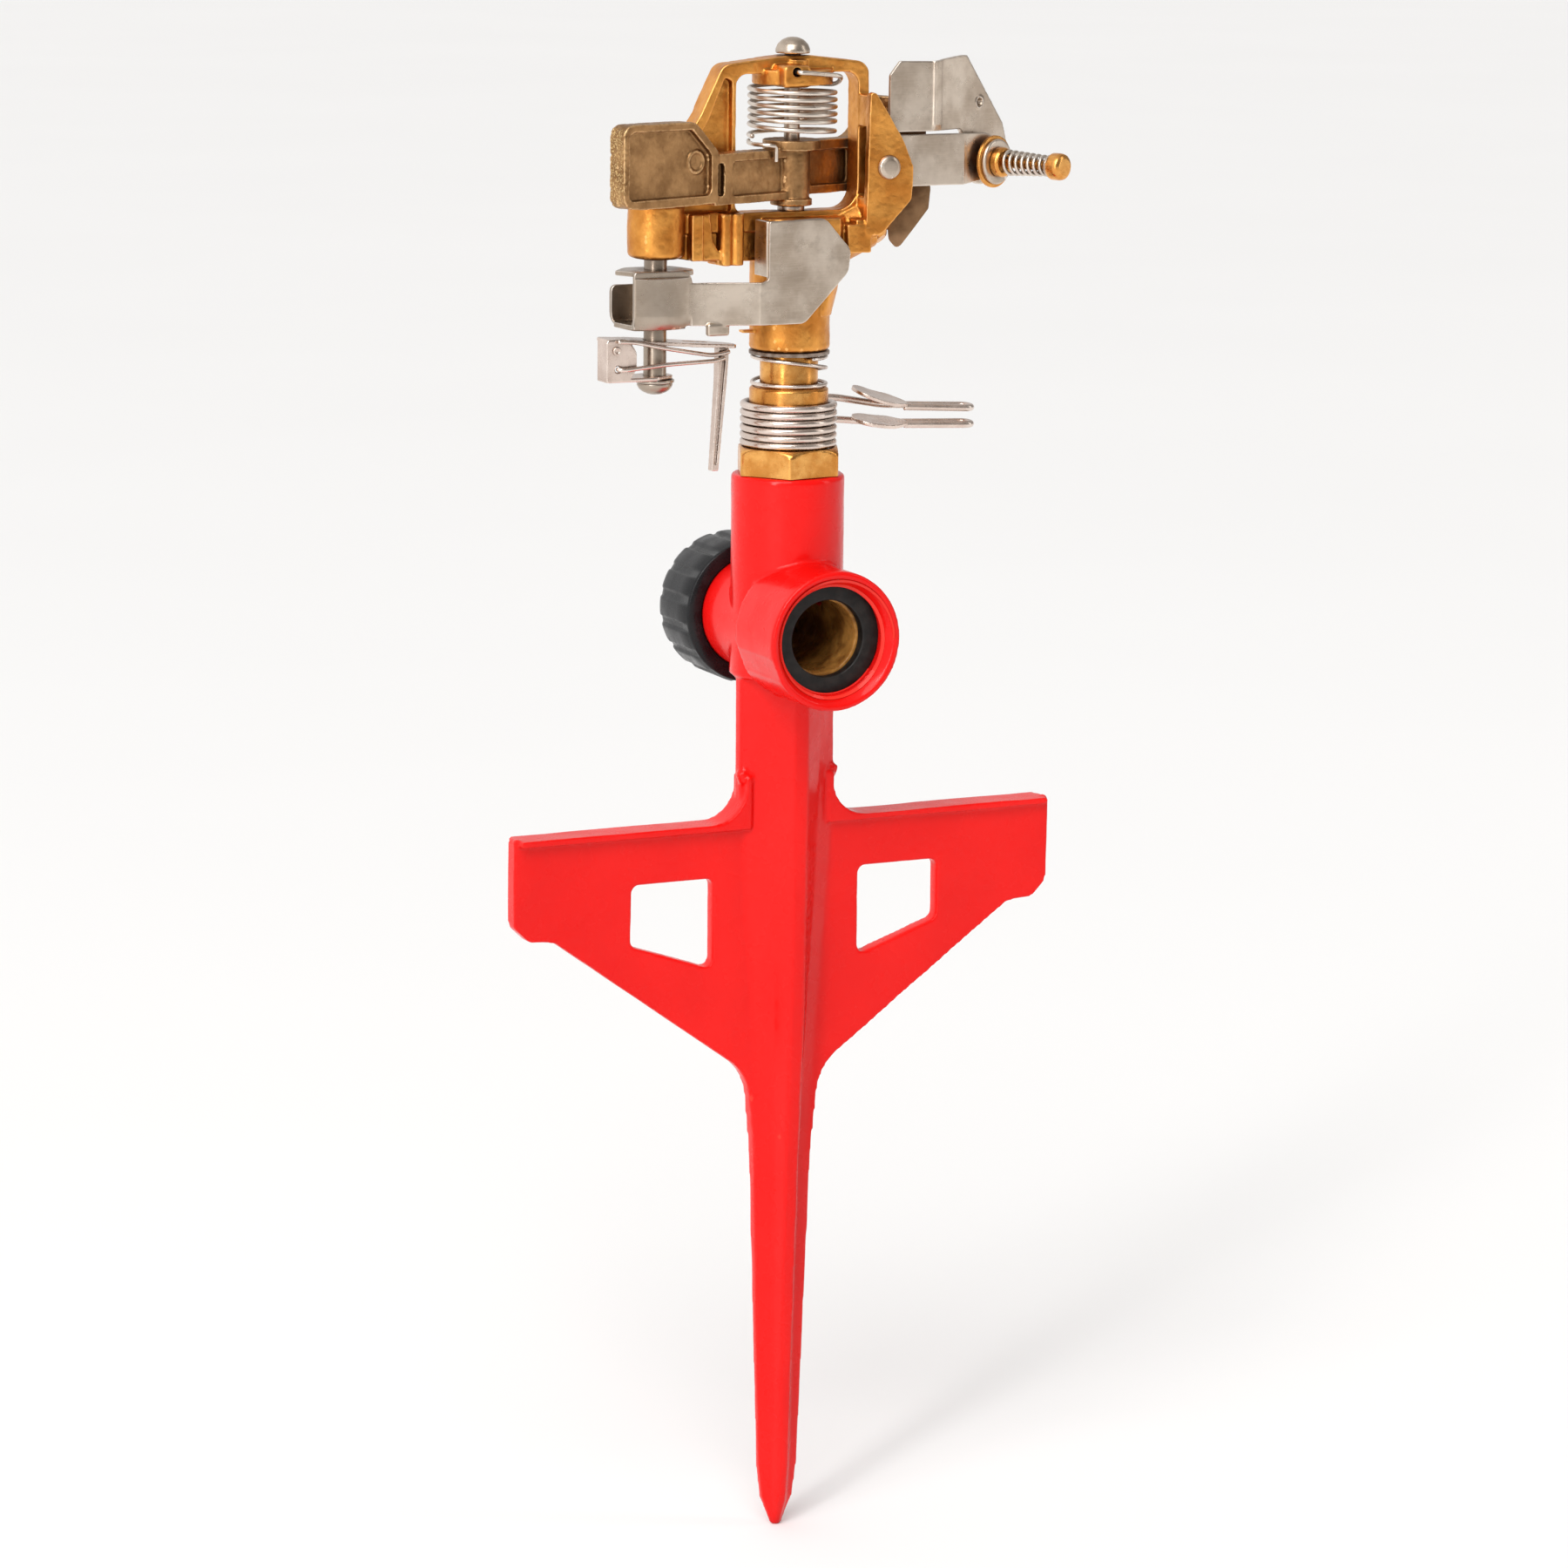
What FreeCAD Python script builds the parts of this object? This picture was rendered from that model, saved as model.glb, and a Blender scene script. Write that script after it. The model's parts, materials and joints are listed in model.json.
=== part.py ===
"""Impact sprinkler on a step-in spike, in millimetres.

The frame: the origin is at ground level on the swivel axis, where the step wings' top edges lie.
+Z runs up the swivel axis, X runs along the wings and +Y runs from the hose inlet to the hose cap.
"""
import FreeCAD, Part
import math
import os

V = FreeCAD.Vector
os.makedirs("parts", exist_ok=True)

# --- heights above the ground line ---
TIP_Z = -178.6
SPIKE_TOP_Z = -82.0
TEE_Z = 47.2
PARTING_Z = 30.3
SOCKET_TOP_Z = 83.6
HEX_TOP_Z = 90.2
NIPPLE_TOP_Z = 104.5
DRUM_BOTTOM_Z = 113.0
SEAT_Z = 146.0
ARM_BOTTOM_Z = 147.2
WINDOW_TOP_Z = 178.2
RING_TOP_Z = 181.4

# --- spike casting ---
WING_SPAN = 71.6
WING_THICK = 4.0
LIP_DEPTH = 8.0
LIP_THICK = 1.6
SOCKET_R = 13.5
SOCKET_BORE_R = 10.7
TEE_R = 16.7
TEE_FRONT_Y = -27.9
NECK_R = 13.4
NECK_END_Y = 31.0
WATER_R = 8.6
MOUTH_R = 13.1
WASHER_FRONT_Y = -23.0
WASHER_THICK = 3.0

# --- hose cap ---
CAP_R = 17.4
CAP_RIB = 0.45
CAP_START_Y = 18.3
CAP_END_Y = 36.8
CAP_BORE_R = 13.7
CAP_WALL = 3.4

# --- bearing ---
TUBE_R = 6.9
TUBE_BORE_R = 5.0
NIPPLE_BORE_R = 6.98
NIPPLE_R = 9.4
DRUM_R = 9.6
HEX_FLATS = 23.2

# --- head ---
RING_HALF_DEPTH = 3.0
WINDOW_LEFT_X = -15.8
WINDOW_RIGHT_X = 15.9
BOSS_X = -34.8
BOSS_R = 6.7
BOSS_BOTTOM_Z = 135.8
NOZZLE_ROOT_Z = 133.6
NOZZLE_TILT = 25.0
NOZZLE_R = 6.2
LUG_FRONT_Y = -9.4
LUG_THICK = 2.0
RIVET_X = 21.0
RIVET_Z = 156.2

# --- arm ---
ARM_ANGLE = 20.0
ARM_PIN_R = 1.9
HUB_R = 4.3

# --- sheet metal and wire ---
HAND = -1
SHEET = 1.2
COLLAR_WIRE_R = 0.86
COLLAR_COIL_R = 10.7
COLLAR_PITCH = 1.74
COLLAR_TURNS = 2.75
COLLAR_CLIMB = 60.0
ARM_SPRING_WIRE_R = 0.55
ARM_SPRING_COIL_R = 10.2
HOOK_Z = 178.9

# --- deflector: the upright bend line, the angle beyond it and the screw beyond the bend ---
BEND_X = 42.6
BEND_ANGLE = 24.0
BUSH_REACH = 9.2
SCREW_Z = 156.3

# --- trip mechanism ---
TRIP_PIN_R = 2.7
TRIP_SHEET = 1.2
LEVER_LOW_Z = 119.6
LEVER_TOP_Z = 133.4
PLATE_Y = -11.0


# --- building blocks ---
def rod(radius, z0, z1, x=0.0, y=0.0):
    """An upright cylinder."""
    return Part.makeCylinder(radius, z1 - z0, V(x, y, z0))


def pipe(outer, inner, z0, z1, x=0.0, y=0.0):
    """An upright tube."""
    return rod(outer, z0, z1, x, y).cut(rod(inner, z0 - 1, z1 + 1, x, y))


def rod_between(radius, start, end):
    """A cylinder from one point to another."""
    start = V(*start)
    along = V(*end) - start
    return Part.makeCylinder(radius, along.Length, start, along)


def box(x0, x1, y0, y1, z0, z1):
    return Part.makeBox(x1 - x0, y1 - y0, z1 - z0, V(x0, y0, z0))


def turned(outline, x=0.0, y=0.0):
    """A solid of revolution about an upright axis, from (radius, height) points."""
    points = [V(r, 0, z) for r, z in outline]
    face = Part.Face(Part.makePolygon(points + points[:1]))
    solid = face.revolve(V(0, 0, 0), V(0, 0, 1), 360)
    solid.translate(V(x, y, 0))
    return solid


def rounded_wire(points, radii, place):
    """A closed outline with each corner rounded by its own radius; place turns (u, v) into a point."""
    count = len(points)
    radii = radii if isinstance(radii, (list, tuple)) else [radii] * count
    ends = []
    for i in range(count):
        here = V(points[i][0], points[i][1], 0)
        back = V(points[i - 1][0], points[i - 1][1], 0) - here
        ahead = V(points[(i + 1) % count][0], points[(i + 1) % count][1], 0) - here
        half = back.getAngle(ahead) / 2
        reach = radii[i] / math.tan(half) if radii[i] else 0
        into = here + back.normalize() * reach
        out = here + ahead.normalize() * reach
        middle = here
        if radii[i]:
            bisector = (back + ahead).normalize()
            middle = here + bisector * (radii[i] / math.sin(half) - radii[i])
        ends.append((into, middle, out))
    edges = []
    for i in range(count):
        into, middle, out = (place(p.x, p.y) for p in ends[i])
        if radii[i]:
            edges.append(Part.Arc(into, middle, out).toShape())
        after = ends[(i + 1) % count][0]
        following = place(after.x, after.y)
        if (following - out).Length > 1e-6:
            edges.append(Part.makeLine(out, following))
    return Part.Wire(edges)


def front_plate(points, radii, y0, y1):
    """A plate that faces the front, from (x, z) points, between two y values."""
    wire = rounded_wire(points, radii, lambda u, v: V(u, y0, v))
    return Part.Face(wire).extrude(V(0, y1 - y0, 0))


def flat_plate(points, radii, z0, z1):
    """A level plate from (x, y) points, between two heights."""
    wire = rounded_wire(points, radii, lambda u, v: V(u, v, z0))
    return Part.Face(wire).extrude(V(0, 0, z1 - z0))


def wire_path(points, bend_r):
    """Edges along straight runs, with every corner bent to an arc."""
    points = [V(*p) for p in points]
    edges = []
    start = points[0]
    for i in range(1, len(points) - 1):
        back = points[i - 1] - points[i]
        ahead = points[i + 1] - points[i]
        half = back.getAngle(ahead) / 2
        reach = min(bend_r / math.tan(half), 0.48 * min(back.Length, ahead.Length))
        radius = reach * math.tan(half)
        back.normalize()
        ahead.normalize()
        into = points[i] + back * reach
        out = points[i] + ahead * reach
        middle = points[i] + (back + ahead).normalize() * (radius / math.sin(half) - radius)
        edges.append(Part.makeLine(start, into))
        edges.append(Part.Arc(into, middle, out).toShape())
        start = out
    edges.append(Part.makeLine(start, points[-1]))
    return edges


def wire_rod(points, wire_r, bend_r):
    """Round wire along straight runs and tangent arcs."""
    return swept(wire_path(points, bend_r), wire_r)


def coil_path(coil_r, z0, z1, turns, end_angle=0.0, arcs_per_turn=4):
    """Edges that climb round the swivel axis in equal arcs and stop at end_angle."""
    def at(share):
        angle = math.radians(end_angle - 360 * turns * (1 - share))
        return V(coil_r * math.cos(angle), coil_r * math.sin(angle) * HAND, z0 + (z1 - z0) * share)

    count = round(turns * arcs_per_turn)
    return [Part.Arc(at(i / count), at((i + 0.5) / count), at((i + 1) / count)).toShape() for i in range(count)]


def swept(edges, wire_r):
    """Round wire along edges that follow each other."""
    first = edges[0]
    ring = Part.makeCircle(wire_r, first.firstVertex().Point, first.tangentAt(first.FirstParameter))
    return Part.Wire(edges).makePipeShell([Part.Wire(ring)], True, True)


def coil(wire_r, coil_r, z0, z1, turns, end_angle=0.0):
    """A round-wire coil about the swivel axis; z0 and z1 are its wire's centre heights."""
    return swept(coil_path(coil_r, z0, z1, turns, end_angle), wire_r)


def joined(shapes):
    """One solid from several that meet."""
    whole = shapes[0]
    for shape in shapes[1:]:
        whole = whole.fuse(shape)
    return whole.removeSplitter()


def rotated(shape, degrees, centre=(0, 0, 0), axis=(0, 0, 1)):
    turned_shape = shape.copy()
    turned_shape.rotate(V(*centre), V(*axis), degrees)
    return turned_shape


def export(name, shape):
    solids = shape.Solids
    kept = solids[0] if len(solids) == 1 else Part.makeCompound(solids)
    assert kept.isValid(), name
    kept.exportStep("parts/" + name + ".step")
    print(f"{name:26s} {len(solids)} solid  {kept.Volume:9.1f} mm3")


# --- spike casting ---
def star_section(z, width, depth, tip, ridge, waist_x, waist_y):
    """The shaft's cross section: a four-pointed star with blunt points."""
    quarter = [(width, tip), (waist_x, waist_y), (ridge, depth)]
    points = [(x, y) for x, y in quarter]
    points += [(-x, y) for x, y in reversed(quarter)]
    points += [(-x, -y) for x, y in quarter]
    points += [(x, -y) for x, y in reversed(quarter)]
    corners = [V(x, y, z) for x, y in points]
    return Part.makePolygon(corners + corners[:1])


def shaft():
    sections = [
        star_section(TEE_Z - 10, 12.5, 9.7, 1.6, 1.6, 7.2, 5.9),
        star_section(-8.0, 12.3, 9.6, 1.6, 1.7, 6.4, 5.0),
        star_section(-45.0, 9.6, 9.3, 1.6, 1.8, 4.6, 4.1),
        star_section(SPIKE_TOP_Z, 7.7, 7.2, 1.6, 1.7, 3.3, 3.1),
        star_section(-131.0, 6.2, 5.2, 1.3, 1.4, 2.6, 2.4),
        star_section(-163.0, 5.1, 4.3, 1.1, 1.2, 2.3, 2.2),
        star_section(-171.5, 4.0, 3.4, 1.0, 1.1, 2.0, 1.9),
        star_section(TIP_Z, 1.3, 1.2, 0.5, 0.5, 0.8, 0.8),
    ]
    return Part.makeLoft(sections, True, True)


def wing_plate():
    """Both step wings with their windows and the concave run into the shaft."""
    low = -21.2
    half = WING_SPAN - 0.6
    corner_x = half - 10.5
    outline = [(-half, 0), (-12.0, 0), (-12.0, 8), (12.0, 8), (12.0, 0), (half, 0)]
    outline += [(half, low), (half - 4, low - 3.8), (corner_x, low - 4.4)]
    outline += [(9.6, -62.5), (7.4, -84.0), (-7.4, -84.0), (-9.6, -62.5)]
    outline += [(-corner_x, low - 4.4), (4 - half, low - 3.8), (-half, low)]
    radii = [0.6, 0, 0, 0, 0, 0.6, 2, 2, 3, 13, 0, 0, 13, 3, 2, 2]
    plate = front_plate(outline, radii, -WING_THICK / 2, WING_THICK / 2)
    for side in (-1, 1):
        window = [(19.4 * side, -13.4), (40.6 * side, -13.4), (40.6 * side, -28.2), (19.4 * side, -35.6)]
        plate = plate.cut(front_plate(window, 1.6, -WING_THICK, WING_THICK))
    return plate


def wing_lip(side):
    """The treading flange: level along the wing, then curved up the shaft."""
    bend = 9.0
    inner = 11.5
    end = WING_SPAN - 1.5
    top = [(inner - 1.2, 11.4), (inner, 11.4), (inner, 0), (end, 0)]
    top += [(end, -LIP_THICK), (inner - 1.2, -LIP_THICK)]
    points = [(x * side, z) for x, z in top]
    return front_plate(points, [0.5, 0.5, bend, 0.5, 0.5, 0], -LIP_DEPTH / 2, LIP_DEPTH / 2)


def tee():
    """The socket, the inlet barrel and the capped neck, with the waterways open."""
    def across(radius, y0, y1):
        return Part.makeCylinder(radius, y1 - y0, V(0, y0, TEE_Z), V(0, 1, 0))

    barrel = across(TEE_R, TEE_FRONT_Y, -7.0)
    facet = box(-TEE_R * 2, -TEE_R * math.cos(math.radians(12)), TEE_FRONT_Y - 1, -6, -9, 9)
    facet = rotated(facet, -22, (0, 0, 0), (0, 1, 0))
    facet.translate(V(0, 0, TEE_Z))
    barrel = barrel.cut(facet)
    rim = [e for e in barrel.Edges if e.BoundBox.YMax < TEE_FRONT_Y + 1e-6]
    barrel = barrel.makeFillet(0.7, rim)
    body = joined([
        barrel,
        rod(SOCKET_R, TEE_Z - 12, SOCKET_TOP_Z),
        across(13.9, -8, 17.9),
        across(NECK_R, 17, NECK_END_Y),
    ])
    top = [e for e in body.Edges if e.BoundBox.ZMin > SOCKET_TOP_Z - 1e-6]
    body = body.makeFillet(0.8, top)
    cuts = [
        across(WATER_R, TEE_FRONT_Y - 1, NECK_END_Y + 1),
        across(MOUTH_R, TEE_FRONT_Y - 1, WASHER_FRONT_Y),
        across(MOUTH_R + 0.5, WASHER_FRONT_Y, WASHER_FRONT_Y + WASHER_THICK),
        rod(WATER_R, TEE_Z, SOCKET_TOP_Z),
        rod(SOCKET_BORE_R, SOCKET_TOP_Z - 17, SOCKET_TOP_Z + 1),
    ]
    lead_in = 1.0
    cuts.append(Part.makeCone(MOUTH_R + 1.4, MOUTH_R, lead_in, V(0, TEE_FRONT_Y, TEE_Z), V(0, 1, 0)))
    for cut in cuts:
        body = body.cut(cut)
    return body, cuts


def casting():
    """The whole red casting, before it is parted into its two named halves."""
    body, cuts = tee()
    metal = joined([body, shaft(), wing_plate(), wing_lip(-1), wing_lip(1)])
    for cut in cuts:
        metal = metal.cut(cut)
    return metal.cut(Part.makeCylinder(WATER_R, 40, V(0, -10, TEE_Z), V(0, 1, 0)))


def casting_halves():
    """The tee above the parting height, and the shaft with its wings below it."""
    whole = casting()
    above = box(-80, 80, -40, 40, PARTING_Z, 100)
    return whole.common(above), whole.cut(above)


def tee_ring(outer, inner, y0, y1):
    """A ring about the inlet's axis."""
    ring = Part.makeCylinder(outer, y1 - y0, V(0, y0, TEE_Z), V(0, 1, 0))
    return ring.cut(Part.makeCylinder(inner, y1 - y0 + 2, V(0, y0 - 1, TEE_Z), V(0, 1, 0)))


def inlet_washer():
    return tee_ring(MOUTH_R + 0.4, 9.1, WASHER_FRONT_Y, WASHER_FRONT_Y + WASHER_THICK)


def hose_cap():
    """A moulded female cap with broad grip ribs."""
    shell = Part.makeCylinder(CAP_R, CAP_END_Y - CAP_START_Y, V(0, CAP_START_Y, TEE_Z), V(0, 1, 0))
    shell = shell.makeFillet(1.6, [e for e in shell.Edges if e.BoundBox.YMin > CAP_END_Y - 0.1])
    ribs = 16
    for i in range(ribs):
        rib = box(CAP_R - 1.0, CAP_R + CAP_RIB, CAP_START_Y + 0.6, CAP_END_Y - 2.4, -1.9, 1.9)
        rib.translate(V(0, 0, TEE_Z))
        shell = shell.fuse(rotated(rib, i * 360 / ribs, (0, 0, TEE_Z), (0, 1, 0)))
    bore = Part.makeCylinder(CAP_BORE_R, CAP_END_Y - CAP_START_Y - CAP_WALL, V(0, CAP_START_Y, TEE_Z), V(0, 1, 0))
    return shell.removeSplitter().cut(bore)


def hose_cap_washer():
    back = CAP_END_Y - CAP_WALL
    return tee_ring(CAP_BORE_R - 0.4, 8.6, NECK_END_Y + 0.05, back - 0.05)


# --- bearing ---
def bearing_nipple():
    """The fixed brass nipple: pipe thread below, hex, and the collar the friction coils grip."""
    shank = turned([(NIPPLE_BORE_R, 80.0), (NIPPLE_R, 80.0), (NIPPLE_R, NIPPLE_TOP_Z - 0.6),
                    (NIPPLE_R - 0.6, NIPPLE_TOP_Z), (NIPPLE_BORE_R, NIPPLE_TOP_Z)])
    thread = turned([(9.0, 68.0), (SOCKET_BORE_R - 0.6, 68.0), (SOCKET_BORE_R - 0.05, 70.0),
                     (SOCKET_BORE_R - 0.05, SOCKET_TOP_Z + 0.3), (9.0, SOCKET_TOP_Z + 0.3)])
    corner = HEX_FLATS / 2 / math.cos(math.radians(30))
    points = [(corner * math.cos(math.radians(60 * i + 8)), corner * math.sin(math.radians(60 * i + 8)))
              for i in range(6)]
    hexagon = flat_plate(points, 0.5, SOCKET_TOP_Z + 0.1, HEX_TOP_Z)
    chamfer = turned([(0, SOCKET_TOP_Z), (corner - 0.5, SOCKET_TOP_Z), (corner + 0.2, SOCKET_TOP_Z + 0.7),
                      (corner + 0.2, HEX_TOP_Z - 1.2), (HEX_FLATS / 2 - 0.4, HEX_TOP_Z), (0, HEX_TOP_Z)])
    hexagon = hexagon.common(chamfer).cut(rod(9.0, 60, 80)).cut(rod(NIPPLE_BORE_R, 70, 110))
    solid = joined([shank, hexagon, thread])
    return solid.cut(rod(9.0, 60, 80.0))


def bearing_tube():
    """The hollow spindle the head turns on, with the flange that holds it in the nipple."""
    return turned([(TUBE_BORE_R, 72.0), (8.6, 72.0), (8.6, 75.0), (TUBE_R, 75.0), (TUBE_R, 124.0),
                   (TUBE_BORE_R, 124.0)])


def bearing_spring():
    return coil(0.45, 8.8, NIPPLE_TOP_Z + 0.5, 111.5, 1.75)


def thrust_washer():
    return pipe(9.6, TUBE_R + 0.05, 112.1, 112.95)


# --- head ---
def nozzle_point(along, across=0.0):
    tilt = math.radians(NOZZLE_TILT)
    x = along * math.cos(tilt) - across * math.sin(tilt)
    z = NOZZLE_ROOT_Z + along * math.sin(tilt) + across * math.cos(tilt)
    return V(x, 0, z)


def nozzle_rod(radius, start, end):
    """A cylinder along the jet's axis, by distance from the swivel axis."""
    return Part.makeCylinder(radius, end - start, nozzle_point(start), nozzle_point(1) - nozzle_point(0))


def head_body():
    top_left = (-19.2, RING_TOP_Z - 0.9)
    top_right = (18.7, RING_TOP_Z - 0.9)
    outer = [(-40.0, SEAT_Z - 0.2), (-24.8, 169.0), top_left, (0, 182.6), top_right, (18.7, 150.0),
             (15.0, 141.5), (-40.0, 141.5)]
    window = [(WINDOW_LEFT_X, SEAT_Z), (WINDOW_LEFT_X, WINDOW_TOP_Z), (WINDOW_RIGHT_X, WINDOW_TOP_Z),
              (WINDOW_RIGHT_X, SEAT_Z)]
    ring = front_plate(outer, [3, 6, 3.5, 40, 3.5, 4, 6, 0], -RING_HALF_DEPTH, RING_HALF_DEPTH)
    ring = ring.cut(front_plate(window, [2, 3, 3, 5], -10, 10))
    recess = [(-34.5, SEAT_Z + 0.2), (-22.6, 168.0), (-18.6, 177.6), (WINDOW_LEFT_X - 1.0, 176.5),
              (WINDOW_LEFT_X - 1.0, SEAT_Z + 0.2)]
    for y0, y1 in ((-10, -1.0), (1.0, 10)):
        ring = ring.cut(front_plate(recess, [1, 2, 0.6, 0.6, 1], y0, y1))
    drum = rod(DRUM_R, DRUM_BOTTOM_Z, 144.5)
    drum = drum.makeFillet(1.4, [e for e in drum.Edges if e.BoundBox.ZMax < DRUM_BOTTOM_Z + 0.1])
    boss = rod(BOSS_R, BOSS_BOTTOM_Z, SEAT_Z, BOSS_X)
    boss = boss.makeFillet(1.5, [e for e in boss.Edges if e.BoundBox.ZMax < BOSS_BOTTOM_Z + 0.1])
    web = front_plate([(BOSS_X, 136.0), (BOSS_X, SEAT_Z), (0, SEAT_Z), (0, 134.5), (-20, 134.5)], 0, -2.2, 2.2)
    rib = box(-27.8, -24.8, -5.2, 4.0, 135.2, SEAT_Z)
    gusset = front_plate([(-25.0, 135.2), (-25.0, SEAT_Z), (-22.8, SEAT_Z), (-22.0, 139.5), (-19.0, 135.2)],
                         [0, 0, 0, 4, 0], -4.2, 3.0)
    posts = [rod(1.6, 133.8, SEAT_Z, x, -3.6) for x in (-18.6, -15.6)]
    post_back = box(-20.2, -14.0, -3.6, 3.0, 133.8, SEAT_Z)
    nozzle = nozzle_rod(NOZZLE_R, 0, 21.0)
    shoulder = turned([(0, 120), (DRUM_R, 120), (DRUM_R + 3.0, 134), (DRUM_R + 3.0, 144.5), (0, 144.5)])
    shoulder = shoulder.common(box(0, 20, -9.2, 9.2, 110, 150))
    port = flat_plate([(10.5, -9.2), (16.8, -9.2), (18.4, -4), (16.8, 3), (10.5, 3)], 0.6, 136.2, 143.0)
    seat = rod(9.5, 175.6, WINDOW_TOP_Z + 1)
    pin_boss = rod(4.0, 174.9, RING_TOP_Z)
    hook_post = box(-6.6, 0.6, -9.6, -2.0, 175.2, RING_TOP_Z - 1.0)
    hook_post = hook_post.makeFillet(1.0, hook_post.Edges)
    stop = box(-12.8, -9.0, -1.2, 1.2, 117.4, 118.2)
    back_of_lug = LUG_FRONT_Y + LUG_THICK
    lug = front_plate([(16.0, 176.0), (24.6, 163.0), (27.6, 156.0), (27.2, 148.4), (19.0, 140.2), (15.2, 140.2)],
                      [1, 4, 3, 1.5, 3, 1], LUG_FRONT_Y, back_of_lug)
    lug_roots = [box(16.0, 18.7, LUG_FRONT_Y + 1, 0, z0, z1) for z0, z1 in ((142.0, 149.2), (165.6, 173.0))]
    lug_foot = box(13.0, 18.7, LUG_FRONT_Y + 0.6, 0, 139.6, 144.0)
    solid = joined([drum, ring, boss, web, rib, gusset, post_back, *posts, nozzle, shoulder, port, seat,
                    pin_boss, hook_post, lug, *lug_roots, lug_foot, stop])
    cuts = [
        rod(TUBE_R + 0.03, DRUM_BOTTOM_Z - 1, 124.0),
        rod(5.2, 123.0, 139.0),
        nozzle_rod(3.9, 0, 40),
        nozzle_rod(4.9, 14.0, 40),
        nozzle_rod(6.8, 21.05, 30),
        rod(ARM_PIN_R, 140.5, 190),
        rod(2.75, BOSS_BOTTOM_Z - 1, 143.0, BOSS_X),
        rod_between(1.0, (-3.2, -12, HOOK_Z), (-3.2, -5.6, HOOK_Z)),
        rod_between(1.65, (RIVET_X, LUG_FRONT_Y - 1, RIVET_Z), (RIVET_X, back_of_lug + 1, RIVET_Z)),
    ]
    for cut in cuts:
        solid = solid.cut(cut)
    return solid


def range_nozzle():
    """The screwed-in brass nozzle with its hex."""
    tilt = nozzle_point(1) - nozzle_point(0)
    shank = nozzle_rod(4.85, 15.0, 21.2)
    tip = Part.makeCone(4.6, 3.6, 2.8, nozzle_point(24.0), tilt)
    corner = 5.6 / math.cos(math.radians(30))
    turns = [math.radians(60 * i) for i in range(7)]
    points = [V(corner * math.cos(turn), corner * math.sin(turn), 0) for turn in turns]
    hexagon = Part.Face(Part.makePolygon(points)).extrude(V(0, 0, 3.0))
    hexagon.rotate(V(0, 0, 0), V(0, 1, 0), 90 - NOZZLE_TILT)
    hexagon.translate(nozzle_point(21.1))
    solid = joined([shank, hexagon, tip])
    return solid.cut(nozzle_rod(2.2, 14, 40)).cut(Part.makeCone(4.0, 2.2, 9, nozzle_point(15.0), tilt))


def arm_pin():
    """The pin the arm swings on, with its domed head."""
    shank = rod(ARM_PIN_R - 0.03, 141.0, 183.0)
    dome = turned([(0, 182.7), (4.1, 182.7), (4.1, 183.6), (3.6, 184.9), (2.3, 186.0), (0, 186.5)])
    return joined([shank, dome])


def arm_washer():
    return pipe(3.2, ARM_PIN_R + 0.03, SEAT_Z + 0.02, ARM_BOTTOM_Z - 0.1)


# --- arm: modelled along X, then turned to its resting angle ---
def arm():
    half = 2.4
    block_half = 2.5
    floor_half = 1.0
    weight = [(-56.6, 149.6), (-56.6, 168.6), (-34.0, 168.4), (-26.5, 161.4), (-26.5, 149.2), (-50.0, 149.0)]
    block = front_plate(weight, [3, 3, 4, 2, 1, 1], -block_half, block_half)
    pocket = [(-54.9, 151.2), (-54.9, 166.8), (-34.9, 166.6), (-28.6, 160.6), (-28.6, 151.2)]
    for y0, y1 in ((-6, -floor_half), (floor_half, 6)):
        block = block.cut(front_plate(pocket, 1.6, y0, y1))
    neck = front_plate([(-27.5, 148.7), (-27.5, 160.6), (-2, 160.6), (-2, 148.7)], 0, -half, half)
    for y0, y1 in ((-6, -0.9), (0.9, 6)):
        neck = neck.cut(front_plate([(-21.5, 150.6), (-21.5, 158.6), (-3, 158.6), (-3, 150.6)], 1.0, y0, y1))
        neck = neck.cut(front_plate([(-26.5, 150.8), (-26.5, 158.4), (-24.4, 158.4), (-24.4, 150.8)], 0.8, y0, y1))
    hub = rod(HUB_R, ARM_BOTTOM_Z, 160.5)
    flange = rod(5.0, ARM_BOTTOM_Z, 148.8)
    collar = rod(6.9, 160.3, 162.6)
    beam = front_plate([(2, 149.6), (2, 162.2), (20, 162.2), (26, 171.5), (31.5, 171.5), (31.5, 166.5),
                        (28, 162), (24, 149.6)], [0, 0, 6, 2, 1, 1, 3, 3], -half, half)
    for y0, y1 in ((-6, -0.9), (0.9, 6)):
        beam = beam.cut(front_plate([(4, 151.6), (4, 159.8), (17.5, 159.8), (17.5, 151.6)], 1.0, y0, y1))
    solid = joined([block, neck, hub, flange, collar, beam])
    solid = rotated(solid.cut(rod(ARM_PIN_R + 0.03, 140, 190)), ARM_ANGLE)
    crook = bent_strip([(26.4, 9.6), (29.6, 6.6), (29.6, 0.9)], 2.6, 165.4, 171.4)
    return joined([solid, crook])


def arm_spoon():
    """The spoon that the jet drives: a bent plate below the arm's end."""
    shape = front_plate([(0, 170.5), (5.4, 170.5), (7.4, 150.0), (7.0, 145.6), (0.6, 136.8), (-0.6, 136.0),
                         (-2.4, 138.0), (-3.0, 144.0)], [1, 1, 2, 1, 1.5, 1, 1.5, 2], -0.8, 0.8)
    shape = rotated(shape, -28)
    shape.translate(V(28.6, 0.2, 0))
    return shape.cut(arm())


def arm_spring():
    """The coil that brings the arm back, with its upper end hooked into the ring's post."""
    top_z = 175.2
    hook = [(ARM_SPRING_COIL_R, 0, top_z), (ARM_SPRING_COIL_R, -4.0, top_z + 0.6), (8.8, -9.0, 178.0),
            (-3.2, -11.4, HOOK_Z), (-3.2, -7.6, HOOK_Z)]
    edges = coil_path(ARM_SPRING_COIL_R, 163.5, top_z, 7.5, arcs_per_turn=3)
    return swept(edges + wire_path(hook, 1.2), ARM_SPRING_WIRE_R)


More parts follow.
